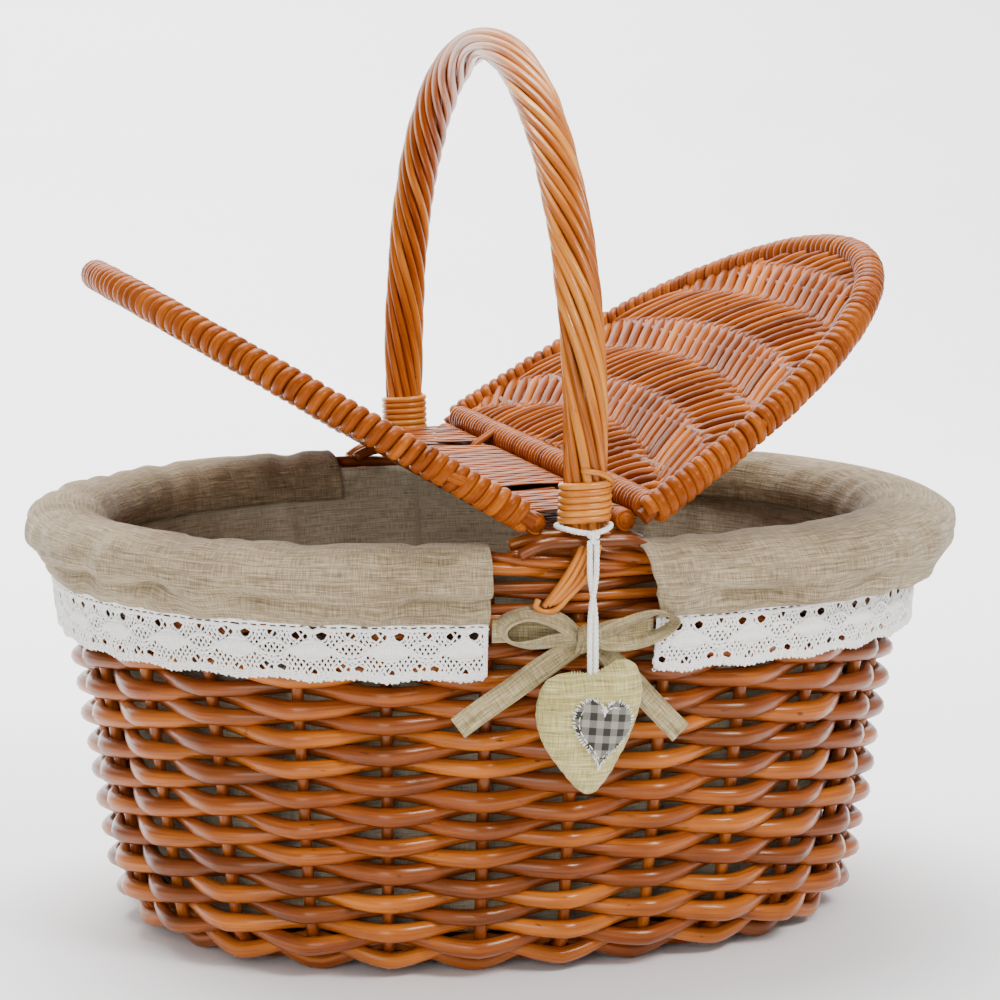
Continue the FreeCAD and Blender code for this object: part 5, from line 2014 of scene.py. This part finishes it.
    def face(self, x: Array, z: Array) -> Array:
        """Find the heart's front face.

        Args:
            x: Places across, in millimetres.
            z: Heights.

        Returns:
            Y of the face at each place.
        """
        turn = np.linspace(0, 1, 720, endpoint=False)
        ox, oz = self.outline(turn)
        dz = z - self.heart_height
        want = np.arctan2(dz, x)
        have = np.arctan2(oz, ox)
        order = np.argsort(have)
        reach = np.interp(want, have[order], np.hypot(ox, oz)[order], period=TAU)
        share = np.clip(np.hypot(x, dz) / reach, 0, 0.999)
        return -self.depth / MM - self.bulge(share)


def heart_curve(turn: Array) -> tuple[Array, Array]:
    """Draw a plain heart that fits in a square of side two.

    Args:
        turn: 0 to 1 round the heart from the notch.

    Returns:
        x and z.
    """
    angle = TAU * turn
    x = np.sin(angle) ** 3
    z = (13 * np.cos(angle) - 4 * np.cos(2 * angle) - 1.6 * np.cos(3 * angle) - 0.8 * np.cos(4 * angle)
         + 2.6) / 14.0
    return x, z


def twisted_cord(line: Array, radius: float, up: Array, closed: bool) -> MeshParts:
    """Twist three plies along a line.

    Args:
        line: Centre line.
        radius: Radius of the whole cord.
        up: Reference direction, or one for each point.
        closed: The cord runs back into itself.

    Returns:
        The gathered plies.
    """
    parts = MeshParts()
    run = along(line)
    samples = max(12, int(run[-1] / (0.5 * MM)))
    at = np.linspace(0, run[-1], samples)
    path = resample(at, run, line)
    ups = np.broadcast_to(up, line.shape)
    guide = resample(at, run, ups)
    tangent = unit(np.gradient(path, axis=0))
    side = unit(np.cross(tangent, guide))
    lift = np.cross(side, tangent)
    turns = max(1, round(run[-1] / (5.2 * MM)))
    for ply in range(3):
        angle = TAU * (ply / 3 + turns * at / run[-1])
        ring = np.cos(angle)[:, None] * side + np.sin(angle)[:, None] * lift
        parts.rod(path + 0.46 * radius * ring, 0.56 * radius, guide, 0.5, sides=6, closed=closed)
    return parts


# ---- studio

@dataclass
class Studio:
    """Pale floor, soft lights and the camera."""

    azimuth: float = -15.148
    elevation: float = 9.639
    distance: float = 1.512
    target: Spot = (0.0, 0.0, 0.15)
    lens: float = 121.82
    shift: tuple[float, float] = (0.0141, 0.0734)

    def set_camera(self) -> None:
        """Place the camera."""
        data = bpy.data.cameras.new("camera")
        data.lens = self.lens
        data.sensor_width = 36.0
        data.shift_x, data.shift_y = self.shift
        camera = stand("camera", data)
        a, e = math.radians(self.azimuth), math.radians(self.elevation)
        back = Vector((math.sin(a) * math.cos(e), -math.cos(a) * math.cos(e), math.sin(e)))
        camera.location = Vector(self.target) + back * self.distance
        camera.rotation_mode = "QUATERNION"
        camera.rotation_quaternion = (-back).to_track_quat("-Z", "Y")
        bpy.context.scene.camera = camera

    def light(self, name: str, where: Spot, size: float, power: float,
              aim: Spot = (0, 0, 0.18)) -> None:
        """Hang one square soft light.

        Args:
            name: Its name.
            where: Its place.
            size: Its side.
            power: Its power in watts.
            aim: The point that it faces.
        """
        data = bpy.data.lights.new(name, "AREA")
        data.size = size
        data.energy = power
        lamp = stand(name, data)
        lamp.location = where
        lamp.rotation_mode = "QUATERNION"
        lamp.rotation_quaternion = (Vector(aim) - Vector(where)).to_track_quat("-Z", "Y")

    def build(self) -> None:
        """Make the floor, the sky and the lights."""
        floor = MeshParts()
        edge, bend, rise = 7.0, 2.2, 6.0
        turn = np.linspace(0, math.pi / 2, 40)
        y = np.concatenate([[-edge, 0.0], 1.2 + bend * np.sin(turn), [1.2 + bend]])
        z = np.concatenate([[0.0, 0.0], bend * (1 - np.cos(turn)), [rise]])
        grid = np.array([table(x, y, z) for x in (-edge, edge)])
        floor.cloth(grid, (edge, edge))
        piece = floor.make("floor", FloorPaint())
        world = bpy.data.worlds.new("studio")
        world.use_nodes = True
        sky = world.node_tree.nodes["Background"]
        sky.inputs["Color"].default_value = (1.0, 1.0, 1.0, 1.0)
        sky.inputs["Strength"].default_value = 0.62
        bpy.context.scene.world = world
        self.light("key", (0.8, -1.4, 1.7), 0.6, 37)
        self.light("fill", (-0.9, -1.7, 0.62), 0.8, 12)
        self.light("top", (-0.2, 0.4, 1.9), 1.3, 36)
        self.light("backdrop", (0.0, 0.9, 2.6), 2.0, 250, (0, 3.2, 1.0))


class FloorPaint(Finish):
    """Smooth pale floor."""

    name = "floor_paint"

    def build(self) -> bpy.types.Material:
        """Make a matt near-white with a faint mottle.

        Returns:
            The material.
        """
        n = Nodes(self.name)
        mottle = n.noise(n.scaled((3, 3, 3)))
        n.join(n.ramp(mottle, (0.3, (0.93, 0.93, 0.93)), (0.7, (0.96, 0.96, 0.96))),
               n.shader.inputs["Base Color"])
        n.gloss(Roughness=0.8, Specular_IOR_Level=0.2)
        return n.stuff


def dress_cad() -> None:
    """Give the CAD pieces that still show their willow."""
    finishes = {"base_sticks": WALL_WILLOW, "handle_bow": HANDLE_WILLOW}
    for word in ("left", "right"):
        for part in ("frame", "bar", "ribs"):
            finishes[f"{word}_lid_{part}"] = LID_WILLOW
    for name, finish in finishes.items():
        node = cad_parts[name]
        node.data.materials.clear()
        node.data.materials.append(finish.material())


def main() -> None:
    """Build the whole basket in order."""
    logging.basicConfig(level=logging.INFO, format="%(message)s")
    oval = Oval()
    shape = WallShape(oval)
    arch = Arch()
    studio = Studio()
    studio.set_camera()
    pendant = Pendant(arch)
    pendant.build_cords()
    WovenWall(shape).build()
    WovenBottom(oval).build()
    Handle(arch, shape).build()
    Bridge(oval).build()
    Lid(oval, Side.LEFT, 31.0).build()
    Lid(oval, Side.RIGHT, 33.0).build()
    Lining(shape).build()
    Bow(shape, True).build()
    Bow(shape, False).build()
    pendant.build()
    dress_cad()
    studio.build()


if __name__ == "__main__":
    main()
